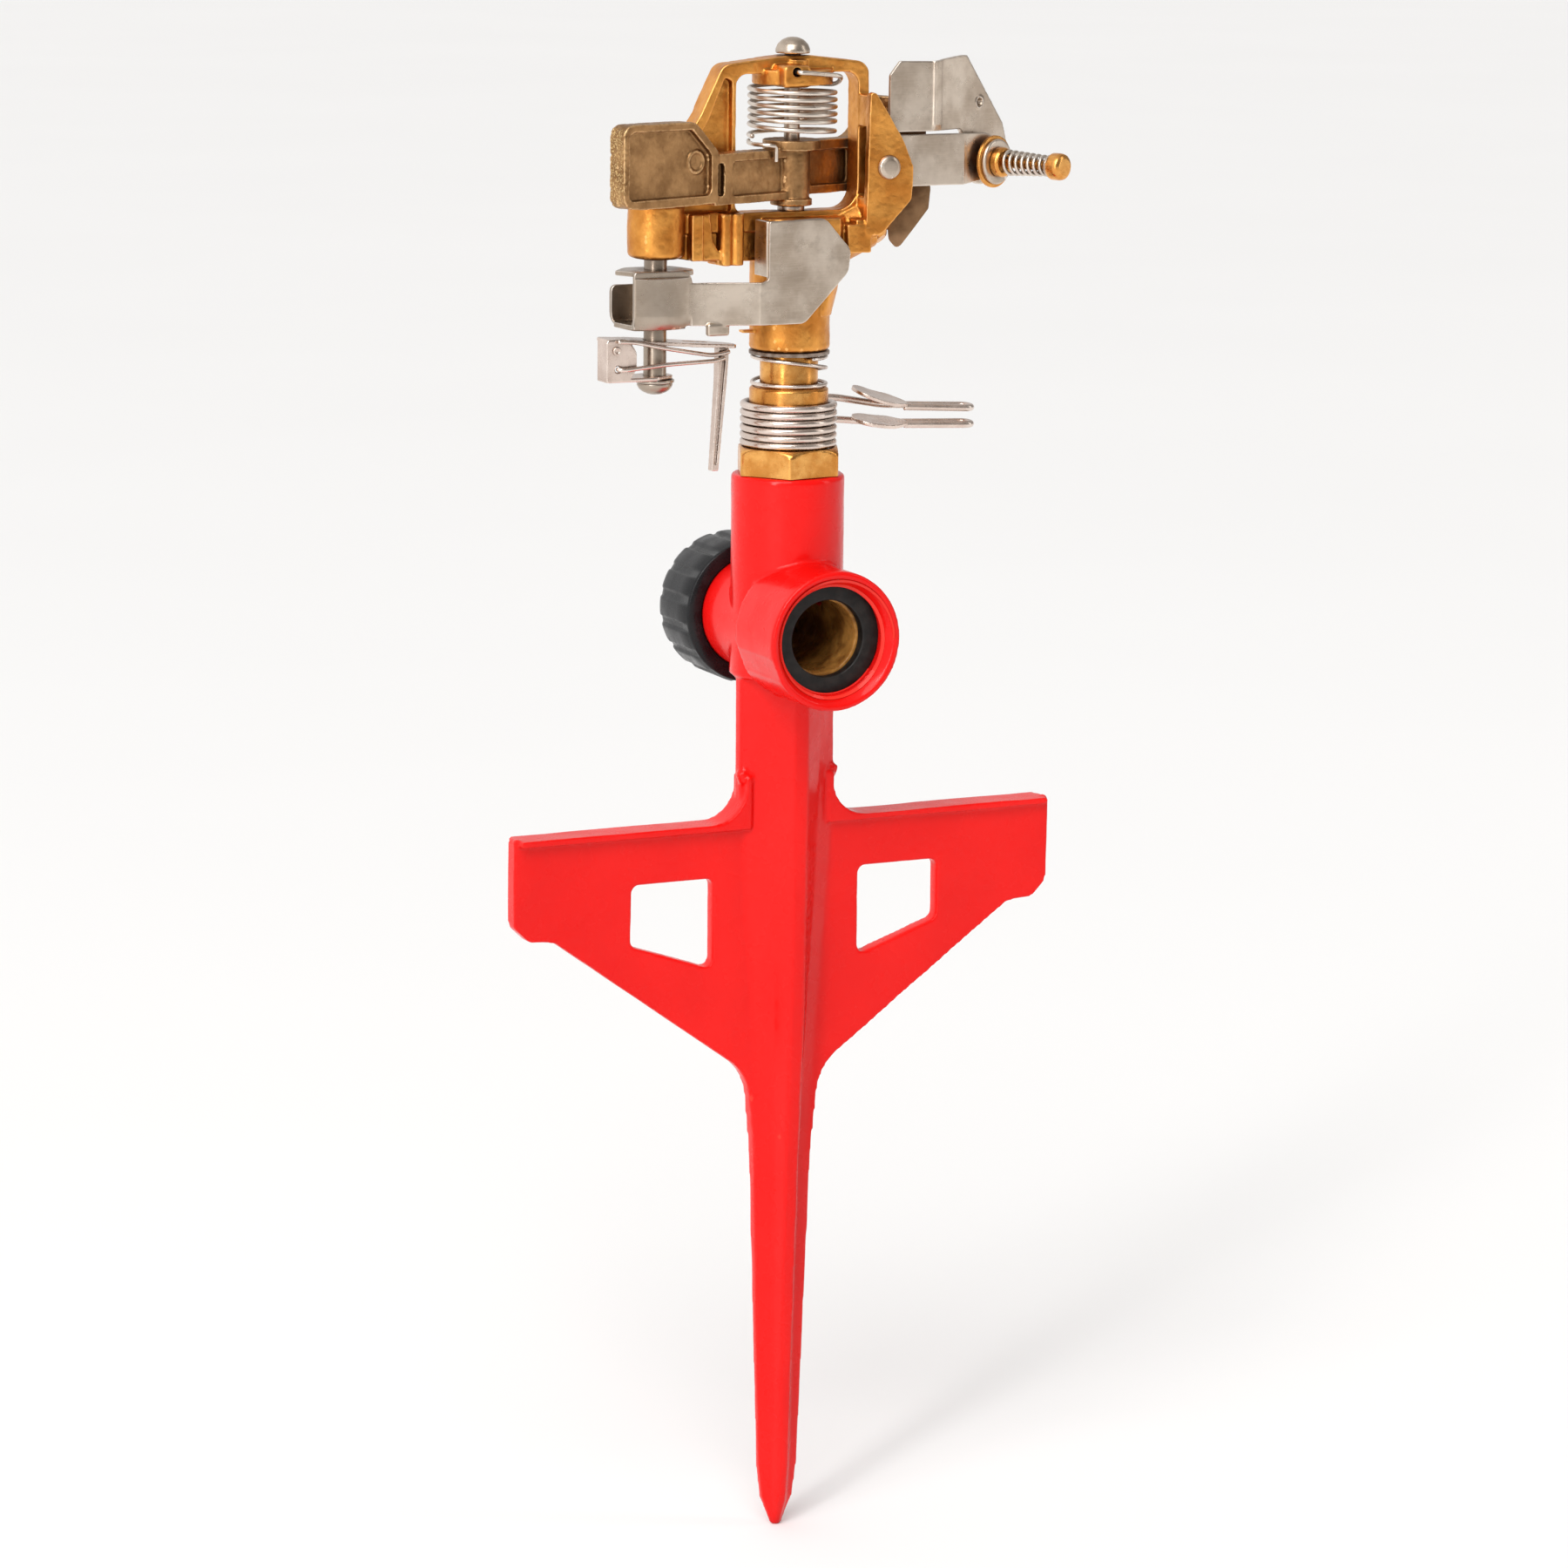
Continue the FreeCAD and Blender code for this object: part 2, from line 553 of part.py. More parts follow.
# --- deflector ---
def bracket_y():
    """The bracket's front face: one sheet and its clearances behind the lug."""
    return LUG_FRONT_Y + LUG_THICK + SHEET + 0.45


def bent_back(shape, y_pivot):
    """Turns a plate's far half inward about the upright bend line."""
    return rotated(shape, BEND_ANGLE, (BEND_X, y_pivot, 0))


def deflector_bracket():
    y0 = bracket_y()
    y1 = y0 + SHEET
    strip = front_plate([(17.0, 151.2), (17.0, 163.4), (BEND_X + 0.2, 163.4), (BEND_X + 0.2, 151.2)],
                        [3, 3, 0, 0], y0, y1)
    end = front_plate([(BEND_X, 151.2), (BEND_X, 163.4), (BEND_X + 12.5, 163.0), (BEND_X + 12.5, 152.4)],
                      [0, 0, 5, 5], y0, y1)
    end = bent_back(end, y0)
    solid = joined([strip, end])
    solid = solid.cut(rod_between(1.65, (RIVET_X, y0 - 1, RIVET_Z), (RIVET_X, y1 + 1, RIVET_Z)))
    return solid.cut(bush_rod(2.6, -5, 5))


def bush_centre():
    swing = math.radians(BEND_ANGLE)
    y = bracket_y()
    return V(BEND_X + BUSH_REACH * math.cos(swing), y + BUSH_REACH * math.sin(swing), SCREW_Z)


def bush_axis():
    swing = math.radians(BEND_ANGLE)
    return V(math.sin(swing), -math.cos(swing), 0)


def bush_rod(radius, start, end):
    """A cylinder on the diffuser screw's axis, by distance out of the bracket's face."""
    base = bush_centre() + bush_axis() * start
    return Part.makeCylinder(radius, end - start, base, bush_axis())


def deflector_flap():
    y0 = bracket_y() - SHEET - 0.15
    y1 = y0 + SHEET
    crease = 33.8
    left = front_plate([(22.2, 164.2), (22.2, 177.6), (24.8, 180.8), (crease, 180.6), (crease, 164.2)],
                       [0.6, 0.6, 0.6, 0, 0], y0, y1)
    right = front_plate([(crease, 164.2), (crease, 180.6), (crease + 10.2, 181.6), (crease + 22.0, 164.6),
                         (crease + 24.6, 159.5), (crease + 22.8, 151.0), (crease + 14.4, 150.2),
                         (crease + 12.4, 157.0), (crease + 10.4, 164.2)], [0, 0, 0.6, 2, 2, 5, 5, 1, 1.5], y0, y1)
    right = rotated(right, BEND_ANGLE, (crease, y0, 0))
    return left, right


def deflector_flap_solid():
    left, right = deflector_flap()
    solid = joined([left, right])
    return solid.cut(bush_rod(2.6, -8, 8))


def screw_bush():
    """The riveted brass bush: a flange before the flap, and a collar that the spring bears on."""
    solid = joined([bush_rod(6.2, 1.4, 2.3), bush_rod(2.55, -1.4, 5.6), bush_rod(3.6, 3.35, 5.6)])
    return solid.cut(bush_rod(1.3, -9, 9))


def screw_plate():
    """The round steel plate clamped between the bush's flange and its collar."""
    return bush_rod(5.4, 2.32, 3.33).cut(bush_rod(2.58, 1, 5))


def diffuser_screw():
    return joined([bush_rod(1.25, -5.5, 19.6), bush_rod(3.2, 19.4, 23.2)])


def bracket_rivet():
    y0 = LUG_FRONT_Y
    back = bracket_y() + SHEET
    shank = rod_between(1.6, (RIVET_X, y0 - 0.4, RIVET_Z), (RIVET_X, back + 0.4, RIVET_Z))
    gap = bracket_y() - 0.05
    spacer = rod_between(2.6, (RIVET_X, y0 + LUG_THICK + 0.02, RIVET_Z), (RIVET_X, gap, RIVET_Z))
    head = Part.makeCylinder(2.9, 1.2, V(RIVET_X, y0 - 1.25, RIVET_Z), V(0, 1, 0))
    head = head.makeFillet(0.8, [e for e in head.Edges if e.BoundBox.YMax < y0 - 1.2])
    tail = Part.makeCylinder(2.4, 0.8, V(RIVET_X, back + 0.05, RIVET_Z), V(0, 1, 0))
    return joined([shank, spacer, head, tail])


# --- trip mechanism: everything here turns about the pin in the boss ---
def bent_strip(plan, thick, z0, z1):
    """An upright strip of sheet metal that follows (x, y) points, rounded at its bends."""
    pieces = []
    for (x0, y0), (x1, y1) in zip(plan, plan[1:]):
        length = math.hypot(x1 - x0, y1 - y0)
        piece = Part.makeBox(length, thick, z1 - z0, V(0, -thick / 2, 0))
        piece.rotate(V(0, 0, 0), V(0, 0, 1), math.degrees(math.atan2(y1 - y0, x1 - x0)))
        piece.translate(V(x0, y0, z0))
        pieces.append(piece)
    for x, y in plan[1:-1]:
        pieces.append(rod(thick / 2, z0, z1, x, y))
    return joined(pieces)


def trip_pin():
    """The rivet-headed pin that hangs from the boss."""
    dome = turned([(0, 103.9), (2.2, 104.2), (3.7, 105.1), (4.2, 106.1), (4.2, 106.7), (0, 106.7)], BOSS_X)
    return joined([rod(TRIP_PIN_R, 106.0, 142.8, BOSS_X), dome])


def trip_pin_washer():
    return pipe(4.6, TRIP_PIN_R + 0.05, 106.75, 107.45, BOSS_X)


def trip_lever():
    """The stainless lever: a stirrup round the pin, a strip, and the striker plate before the drum."""
    half = TRIP_SHEET / 2
    hole = TRIP_PIN_R + 0.06
    low, top = LEVER_LOW_Z, LEVER_TOP_Z
    level = [(-45.6, -1.0), (-42.6, -6.4), (-28.0, -6.4), (-26.6, -3.0), (-29.0, 4.8), (-41.0, 4.8)]
    roof = flat_plate(level, [0.5, 1, 1, 2, 3, 3], top - TRIP_SHEET, top)
    floor = flat_plate([(-42.6, -6.4), (-29.4, -6.4), (-28.6, 2.0), (-31.0, 5.2), (-44.0, 5.2)],
                       [1, 1, 2, 2, 2], low, low + TRIP_SHEET)
    front = bent_strip([(-42.6, -6.4), (-29.4, -6.4), (-25.0, -7.2), (-12.6, PLATE_Y)], TRIP_SHEET, 120.4, 130.4)
    web = front_plate([(-43.2, low), (-43.2, top), (-28.4, top), (-28.4, low)], [0.8, 0.8, 3, 3], -7.0, -5.8)
    rear = front_plate([(-44.0, 118.9), (-44.0, 129.4), (-31.5, 129.4), (-31.5, 118.9)], [4, 1.5, 1, 1], 4.6, 5.8)
    plate = [(-13.0, 120.4), (-13.0, 130.2), (-10.9, 131.0), (-10.9, 144.6), (3.6, 145.0), (10.4, 137.4),
             (9.8, 132.2), (-1.6, 120.4)]
    striker = front_plate(plate, [0, 0, 1, 0.5, 3.5, 3, 3, 3], PLATE_Y - half, PLATE_Y + half)
    flange = box(-11.4, -10.3, PLATE_Y, -4.4, 131.6, 144.6)
    tab = box(-25.2, -19.6, -8.9, -7.0, 118.0, 121.0)
    tab = tab.makeFillet(0.6, tab.Edges)
    solid = joined([roof, floor, front, web, rear, striker, flange, tab])
    return solid.cut(rod(hole, 110, 140, BOSS_X))


def trigger_bracket():
    """The pressed stirrup that carries the trigger blade under the lever."""
    hole = TRIP_PIN_R + 0.06
    low = 107.55
    floor = flat_plate([(-49.0, -4.6), (-36.0, -4.6), (-30.4, -1.5), (-30.4, 2.5), (-36.0, 4.6), (-49.0, 1.0)],
                       [0.6, 3, 3, 3, 3, 1], low, low + 0.9)
    side = front_plate([(-49.0, low), (-49.0, 117.6), (-43.6, 117.6), (-41.4, 114.6), (-41.4, 110.4), (-43.6, low)],
                       [0.5, 0.8, 2, 2.4, 2.4, 1.5], -4.6, -3.7)
    back = box(-49.0, -48.1, -4.2, 1.0, low, 117.4)
    roof = flat_plate([(-48.8, -4.2), (-27.0, -4.2), (-14.8, -2.6), (-14.0, 1.2), (-20.0, 3.8), (-40.0, 5.4),
                       (-48.8, 2.5)], [0.6, 6, 1, 1.5, 3, 3, 1.5], 116.8, 117.7)
    roof = roof.cut(flat_plate([(-27.2, 0.2), (-20.4, 0.2), (-20.4, 2.2), (-27.2, 2.2)], 0.95, 110, 120))
    roof = roof.cut(rod(hole, 100, 130, BOSS_X))
    roof = rotated(roof, 4.5, (-48.8, 0, 117.7), (0, 1, 0))
    solid = joined([floor, side, back, roof])
    solid = solid.cut(rod(hole, 100, 115, BOSS_X)).cut(rod(hole + 0.15, 110, 130, BOSS_X))
    return solid.cut(rod_between(0.75, (-46.2, -6, 110.7), (-46.2, -3, 110.7)))


def trigger_rivet():
    ring = Part.makeCylinder(1.0, 0.6, V(-46.6, -5.2, 115.0), V(0, 1, 0))
    return ring.makeFillet(0.3, [e for e in ring.Edges if e.BoundBox.YMax < -5.0])


def trigger_blade():
    """The folded blade that the collars push, hanging from the bracket."""
    def section(x, y, z, width, depth):
        corners = [V(x - width / 2, y - depth / 2, z), V(x + width / 2, y - depth / 2, z),
                   V(x + width / 2, y + depth / 2, z), V(x - width / 2, y + depth / 2, z)]
        return Part.makePolygon(corners + corners[:1])

    blade = Part.makeLoft([section(-18.2, -1.4, 114.9, 2.8, 2.6), section(-18.6, -1.4, 106, 2.4, 2.4),
                           section(-20.2, -1.4, 85.3, 1.7, 2.2)], True, True)
    groove = Part.makeLoft([section(-18.2, -2.7, 111.5, 0.9, 1.5), section(-20.1, -2.5, 87.0, 0.6, 1.0)], True, True)
    return blade.cut(groove).cut(trigger_bracket())


def overcentre_spring():
    """The bent wire that snaps the trip over: two legs that meet at the blade's top."""
    upper = [(-46.6, -5.4, 117.2), (-42.5, -5.4, 117.0), (-34.5, -5.4, 115.2), (-21.4, -3.6, 112.8),
             (-17.0, -3.4, 113.6)]
    lower = [(-46.2, -3.0, 110.7), (-46.2, -5.7, 110.7), (-44.6, -5.8, 110.6), (-34.5, -5.4, 111.4),
             (-21.0, -3.9, 111.6)]
    return joined([wire_rod(upper, 0.5, 2.0), wire_rod(lower, 0.5, 0.6)])


# --- friction collars ---
def closed_coil_path(coil_r, start_z, end_angle):
    """Edges of level turns that touch, with a short climb from each to the next, and the height they end at."""
    def at(angle, z):
        turn = math.radians(angle)
        return V(coil_r * math.cos(turn), coil_r * math.sin(turn) * HAND, z)

    edges = []
    angle = end_angle - 360 * COLLAR_TURNS
    z = start_z
    while angle < end_angle:
        half = min(360 - COLLAR_CLIMB, end_angle - angle) / 2
        for _ in range(2):
            edges.append(Part.Arc(at(angle, z), at(angle + half / 2, z), at(angle + half, z)).toShape())
            angle += half
        if angle < end_angle:
            middle = at(angle + COLLAR_CLIMB / 2, z + COLLAR_PITCH / 2)
            edges.append(Part.Arc(at(angle, z), middle, at(angle + COLLAR_CLIMB, z + COLLAR_PITCH)).toShape())
            angle += COLLAR_CLIMB
            z += COLLAR_PITCH
    return edges, z


def collar(coil_z, arm_z, tip_z):
    """A friction coil whose wire runs out to a hairpin finger grip; also gives the arm's own placing."""
    leave = 80.0
    reach = 47.6
    angle = math.radians(leave)
    along = V(math.sin(angle), -math.cos(angle), 0)
    across = V(math.cos(angle), math.sin(angle), 0)
    edges, leave_z = closed_coil_path(COLLAR_COIL_R, coil_z, -leave)
    start = V(COLLAR_COIL_R * math.cos(angle), COLLAR_COIL_R * math.sin(angle), leave_z)

    def place(out, side, height):
        point = start + along * out - across * side
        return (point.x, point.y, height)

    points = [place(0, 0, start.z), place(14, 0, start.z), place(26, 0, arm_z), place(reach, 0, tip_z),
              place(reach, 5.0, tip_z), place(30, 5.0, arm_z)]
    return swept(edges + wire_path(points, 2.4), COLLAR_WIRE_R), place


def finger_tab(place, low_z, high_z):
    """The round thumb plate, brazed to the hairpin's return end."""
    far = V(*place(31.0, 4.6, low_z))
    near = V(*place(17.5, 4.6, high_z))
    along = (near - far)
    length = along.Length
    plate = flat_plate([(0, -1.6), (0, 1.6), (4.0, 4.6), (length, 4.6), (length, -4.6), (4.0, -4.6)],
                       [0.5, 0.5, 3, 4.5, 4.5, 3], -0.45, 0.45)
    pitch = -math.degrees(math.asin(along.z / length))
    near_side_down = 8.0
    plate.rotate(V(0, 0, 0), V(1, 0, 0), -near_side_down)
    plate.rotate(V(0, 0, 0), V(0, 1, 0), pitch)
    plate.rotate(V(0, 0, 0), V(0, 0, 1), math.degrees(math.atan2(along.y, along.x)))
    plate.translate(far)
    return plate


def arm_spring_tail():
    """The spring's lower end, which turns with the arm: a small eye, then a leg over the arm's top rib."""
    rib_top = 161.0
    points = [(-8.9, -1.6, rib_top + 0.9), (-10.6, -3.6, rib_top + 1.1), (-9.4, -6.2, rib_top + 0.7),
              (-7.2, -6.4, rib_top + 0.2), (-6.9, -6.1, rib_top - 3.4)]
    return wire_rod(points, 0.5, 0.9)


def screw_spring():
    """The small spring that keeps the diffuser screw from turning by itself."""
    turns = 7
    wire_r = 0.45
    start, end = 6.1, 18.1
    solid = coil(wire_r, 2.1, start, end, turns)
    solid.rotate(V(0, 0, 0), V(0, 1, 0), 90)
    solid.rotate(V(0, 0, 0), V(0, 0, 1), BEND_ANGLE - 90)
    solid.translate(bush_centre())
    return solid


def screw_washer():
    return bush_rod(2.7, 18.7, 19.3).cut(bush_rod(1.3, 18, 20))


def tube_seal():
    return pipe(8.5, TUBE_R + 0.06, 75.1, 77.4)


def tube_washer():
    return pipe(8.5, TUBE_R + 0.06, 77.5, 79.9)


if __name__ == "__main__":
    upper_half, lower_half = casting_halves()
    export("tee_casting", upper_half)
    export("spike_blade", lower_half)
    export("inlet_washer", inlet_washer())
    export("hose_cap", hose_cap())
    export("hose_cap_washer", hose_cap_washer())
    export("bearing_nipple", bearing_nipple())
    export("bearing_tube", bearing_tube())
    export("bearing_spring", bearing_spring())
    export("thrust_washer", thrust_washer())
    export("head_body", head_body())
    export("range_nozzle", range_nozzle())
    export("arm_pin", arm_pin())
    export("arm_washer", arm_washer())
    export("arm", arm())
    export("arm_spoon", arm_spoon())
    export("arm_spring", arm_spring())
    export("deflector_bracket", deflector_bracket())
    export("deflector_flap", deflector_flap_solid())
    export("screw_bush", screw_bush())
    export("diffuser_screw", diffuser_screw())
    export("bracket_rivet", bracket_rivet())
    export("screw_plate", screw_plate())
    export("screw_spring", screw_spring())
    export("screw_washer", screw_washer())
    export("tube_seal", tube_seal())
    export("tube_washer", tube_washer())
    export("arm_spring_tail", arm_spring_tail())
    export("trip_pin", trip_pin())
    export("trip_pin_washer", trip_pin_washer())
    export("trip_lever", trip_lever())
    export("trigger_bracket", trigger_bracket())
    export("trigger_rivet", trigger_rivet())
    export("trigger_blade", trigger_blade())
    export("overcentre_spring", overcentre_spring())
    upper, upper_place = collar(96.5, 97.9, 97.2)
    lower, lower_place = collar(91.15, 93.6, 93.2)
    export("upper_collar", upper)
    export("upper_finger_tab", finger_tab(upper_place, 98.3, 102.3))
    export("lower_collar", lower)
    export("lower_finger_tab", finger_tab(lower_place, 93.7, 95.2))
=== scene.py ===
"""The looks of the impact sprinkler: cast brass head, bronze arm, stainless sheet and wire, red enamelled spike."""
import json
import math

import bmesh
import bpy
import numpy as np
from mathutils import Matrix, Vector, noise


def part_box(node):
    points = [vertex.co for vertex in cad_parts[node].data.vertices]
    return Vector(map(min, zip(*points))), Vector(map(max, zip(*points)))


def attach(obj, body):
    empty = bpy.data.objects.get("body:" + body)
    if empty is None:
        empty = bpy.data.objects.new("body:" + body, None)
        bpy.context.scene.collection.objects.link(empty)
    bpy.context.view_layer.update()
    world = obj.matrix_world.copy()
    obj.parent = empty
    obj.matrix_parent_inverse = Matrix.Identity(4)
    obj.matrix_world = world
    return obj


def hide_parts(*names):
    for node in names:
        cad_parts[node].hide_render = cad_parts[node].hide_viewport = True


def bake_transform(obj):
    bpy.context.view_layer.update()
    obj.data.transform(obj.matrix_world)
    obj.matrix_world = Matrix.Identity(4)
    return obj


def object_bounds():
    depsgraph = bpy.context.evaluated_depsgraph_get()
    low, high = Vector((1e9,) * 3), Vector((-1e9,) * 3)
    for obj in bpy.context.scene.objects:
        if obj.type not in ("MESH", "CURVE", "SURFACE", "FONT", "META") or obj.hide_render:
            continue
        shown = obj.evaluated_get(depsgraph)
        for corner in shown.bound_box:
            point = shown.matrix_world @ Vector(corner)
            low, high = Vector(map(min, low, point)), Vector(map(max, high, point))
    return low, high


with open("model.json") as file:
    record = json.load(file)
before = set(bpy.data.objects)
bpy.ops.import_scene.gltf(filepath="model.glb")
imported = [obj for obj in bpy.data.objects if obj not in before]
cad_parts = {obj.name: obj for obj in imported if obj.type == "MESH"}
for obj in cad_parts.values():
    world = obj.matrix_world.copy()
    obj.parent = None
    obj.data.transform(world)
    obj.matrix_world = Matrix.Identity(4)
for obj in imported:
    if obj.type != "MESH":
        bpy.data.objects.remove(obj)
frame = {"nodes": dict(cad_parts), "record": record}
cad_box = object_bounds()

MM = 0.001
RECORD = frame["record"]
BODY_OF = {node: body for body, members in RECORD["behaviour"]["bodies"].items() for node in members}
SLOT_OF = {part["node"]: part["material_slot"] for part in RECORD["subparts"]}
JOINTS = {joint["name"]: joint for joint in RECORD["behaviour"]["joints"]}
UP = Vector((0, 0, 1))
BACK = Vector((0, 1, 0))

# heights and radii read from the frame, in millimetres
ARM_ANGLE = math.radians(20)
TEE_Z = JOINTS["cap_turn"]["pos_m"][2] / MM
BOSS_X = JOINTS["trigger_trip"]["pos_m"][0] / MM
SCREW_AXIS = Vector(JOINTS["screw_turn"]["axis"])
SCREW_BASE = Vector(JOINTS["screw_turn"]["pos_m"]) / MM
NOZZLE_TILT = math.radians(25)


# ---------------------------------------------------------------- materials
class Graph:
    """A short way to write a node material whose patterns follow object coordinates."""

    def __init__(self, name):
        self.material = bpy.data.materials.new(name)
        self.material.use_nodes = True
        self.nodes = self.material.node_tree.nodes
        self.links = self.material.node_tree.links
        self.shader = self.nodes["Principled BSDF"]
        self.place = self.nodes.new("ShaderNodeTexCoord").outputs["Object"]
        self.normal = None

    def put(self, socket, value):
        if isinstance(value, bpy.types.NodeSocket):
            self.links.new(value, socket)
        elif isinstance(value, tuple) and len(value) == 3 and socket.type == "RGBA":
            socket.default_value = (*value, 1)
        else:
            socket.default_value = value

    def noise(self, size_mm, detail=3.0, rough=0.55, stretch=(1, 1, 1), turn=(0, 0, 0)):
        """Noise from 0 to 1 whose patches are about size_mm across, longer along an axis by its stretch."""
        mapping = self.nodes.new("ShaderNodeMapping")
        mapping.inputs["Rotation"].default_value = turn
        mapping.inputs["Scale"].default_value = [1 / (size_mm * MM * s) for s in stretch]
        self.links.new(self.place, mapping.inputs["Vector"])
        node = self.nodes.new("ShaderNodeTexNoise")
        node.inputs["Scale"].default_value = 1.0
        node.inputs["Detail"].default_value = detail
        node.inputs["Roughness"].default_value = rough
        self.links.new(mapping.outputs["Vector"], node.inputs["Vector"])
        return node.outputs["Fac"]

    def ramp(self, value, low, high, to_low=0.0, to_high=1.0):
        node = self.nodes.new("ShaderNodeMapRange")
        node.interpolation_type = "SMOOTHSTEP"
        for socket, given in zip(("Value", "From Min", "From Max", "To Min", "To Max"),
                                 (value, low, high, to_low, to_high)):
            self.put(node.inputs[socket], given)
        return node.outputs["Result"]

    def mix(self, amount, first, second):
        node = self.nodes.new("ShaderNodeMix")
        node.data_type = "RGBA"
        self.put(node.inputs["Factor"], amount)
        self.put(node.inputs["A"], first)
        self.put(node.inputs["B"], second)
        return node.outputs["Result"]

    def maths(self, operation, first, second):
        node = self.nodes.new("ShaderNodeMath")
        node.operation = operation
        self.put(node.inputs[0], first)
        self.put(node.inputs[1], second)
        return node.outputs[0]

    def pointiness(self):
        return self.nodes.new("ShaderNodeNewGeometry").outputs["Pointiness"]

    def coordinate(self, axis):
        node = self.nodes.new("ShaderNodeSeparateXYZ")
        self.links.new(self.place, node.inputs[0])
        return node.outputs[axis]

    def shelter(self, reach_mm):
        """1 in the open, towards 0 in corners and recesses."""
        node = self.nodes.new("ShaderNodeAmbientOcclusion")
        node.samples = 4
        node.inputs["Distance"].default_value = reach_mm * MM
        return node.outputs["AO"]

    def distance_from_inlet_axis(self):
        away = self.maths("SUBTRACT", self.coordinate("Z"), TEE_Z * MM)
        sideways = self.coordinate("X")
        return self.maths("SQRT", self.maths("ADD", self.maths("MULTIPLY", away, away),
                                             self.maths("MULTIPLY", sideways, sideways)), 0.0)

    def bump(self, height, depth_mm, strength=1.0):
        node = self.nodes.new("ShaderNodeBump")
        node.inputs["Strength"].default_value = strength
        node.inputs["Distance"].default_value = depth_mm * MM
        self.put(node.inputs["Height"], height)
        if self.normal is not None:
            self.links.new(self.normal, node.inputs["Normal"])
        self.normal = node.outputs["Normal"]

    def finish(self, colour, roughness, **settings):
        self.put(self.shader.inputs["Base Color"], colour)
        self.put(self.shader.inputs["Roughness"], roughness)
        for name, value in settings.items():
            self.put(self.shader.inputs[name.replace("_", " ")], value)
        if self.normal is not None:
            self.links.new(self.normal, self.shader.inputs["Normal"])
        return self.material


def with_painted_shade(g, colour, reach_mm, shade_colour, amount):
    """Paints shade into corners and recesses, darkening the colour where they hide the open sky."""
    return g.mix(g.ramp(g.shelter(reach_mm), 0.25, 0.85, amount, 0.0), colour, shade_colour)


def enamel():
    """Glossy red enamel over a casting: slow waves and a fine skin; the waterway is bare dark brass-brown."""
    g = Graph("red_enamel")
    colour = g.mix(g.ramp(g.noise(38, 2), 0.35, 0.7), (0.76, 0.0045, 0.0035), (0.83, 0.0065, 0.005))
    # Sharp edges lighter: partly worn paint, partly a painted highlight.
    edge_wear_and_highlight = g.ramp(g.pointiness(), 0.535, 0.62, 0.0, 0.28)
    colour = g.mix(edge_wear_and_highlight, colour, (0.92, 0.10, 0.06))
    # Painted shade in the corners of the casting.
    colour = with_painted_shade(g, colour, 4.0, (0.40, 0.002, 0.002), 0.5)
    waterway = g.ramp(g.distance_from_inlet_axis(), 9.3 * MM, 9.6 * MM, 1.0, 0.0)
    bare = g.mix(g.ramp(g.noise(5, 3), 0.3, 0.7), (0.16, 0.060, 0.012), (0.46, 0.22, 0.05))
    colour = g.mix(waterway, colour, bare)
    g.bump(g.noise(9.0, 2), 0.30, 0.45)
    g.bump(g.noise(1.3, 3, 0.6), 0.030, 0.55)
    rough = g.ramp(g.noise(7, 3), 0.3, 0.75, 0.22, 0.34)
    return g.finish(colour, rough, Coat_Weight=0.22, Coat_Roughness=0.06, Specular_IOR_Level=0.12)


def cast_metal(name, light, dark, fleck, rough, skin_mm=0.05, fleck_share=0.62):
    """Sand-cast brass: cloudy colour, a grainy skin, edges lightened as rubbed wear and as a painted highlight, and
    painted shade in the hollows.
    """
    g = Graph(name)
    colour = g.mix(g.ramp(g.noise(9.0, 4, 0.6), 0.32, 0.68), dark, light)
    colour = g.mix(g.ramp(g.noise(0.9, 4, 0.65), fleck_share, fleck_share + 0.14, 0.0, 0.35), colour, fleck)
    # Painted shade in the hollows of the casting.
    shade_colour = tuple(channel * 0.35 for channel in dark)
    colour = with_painted_shade(g, colour, 5.0, shade_colour, 0.85)
    # Edges lightened: partly rubbed brass, partly a painted highlight.
    edge_wear_and_highlight = tuple(min(1.0, channel * 1.2 + 0.06) for channel in light)
    colour = g.mix(g.ramp(g.pointiness(), 0.507, 0.55, 0.0, 0.85), colour, edge_wear_and_highlight)
    g.bump(g.noise(2.6, 3, 0.6), skin_mm * 2.5, 0.6)
    g.bump(g.noise(0.55, 4, 0.65), skin_mm, 0.8)
    return g.finish(colour, g.ramp(g.noise(1.6, 4, 0.6), 0.3, 0.7, rough - 0.06, rough + 0.10), Metallic=1.0)


def arm_bronze():
    """Dark bronze, mottled, with gold flecks along the edge of its far end."""
    g = Graph("arm_bronze")
    colour = g.mix(g.ramp(g.noise(6.0, 4, 0.62), 0.33, 0.68), (0.27, 0.140, 0.056), (0.44, 0.245, 0.105))
    colour = g.mix(g.ramp(g.noise(0.8, 4, 0.7), 0.60, 0.76, 0.0, 0.35), colour, (0.60, 0.36, 0.15))
    end = g.ramp(g.coordinate("X"), -51.5 * MM, -53.2 * MM)
    grains = g.ramp(g.noise(0.45, 3, 0.8), 0.50, 0.62)
    colour = g.mix(g.maths("MULTIPLY", end, grains), colour, (0.85, 0.60, 0.28))
    # Painted shade in the pocket and corners.
    colour = with_painted_shade(g, colour, 4.0, (0.055, 0.026, 0.011), 0.85)
    # Edges lightened: a painted highlight.
    colour = g.mix(g.ramp(g.pointiness(), 0.507, 0.55, 0.0, 0.85), colour, (0.78, 0.50, 0.25))
    g.bump(g.noise(2.0, 3, 0.6), 0.10, 0.6)
    g.bump(g.noise(0.45, 4, 0.7), 0.04, 0.9)
    return g.finish(colour, g.ramp(g.noise(1.6, 4, 0.6), 0.3, 0.7, 0.36, 0.52), Metallic=1.0)


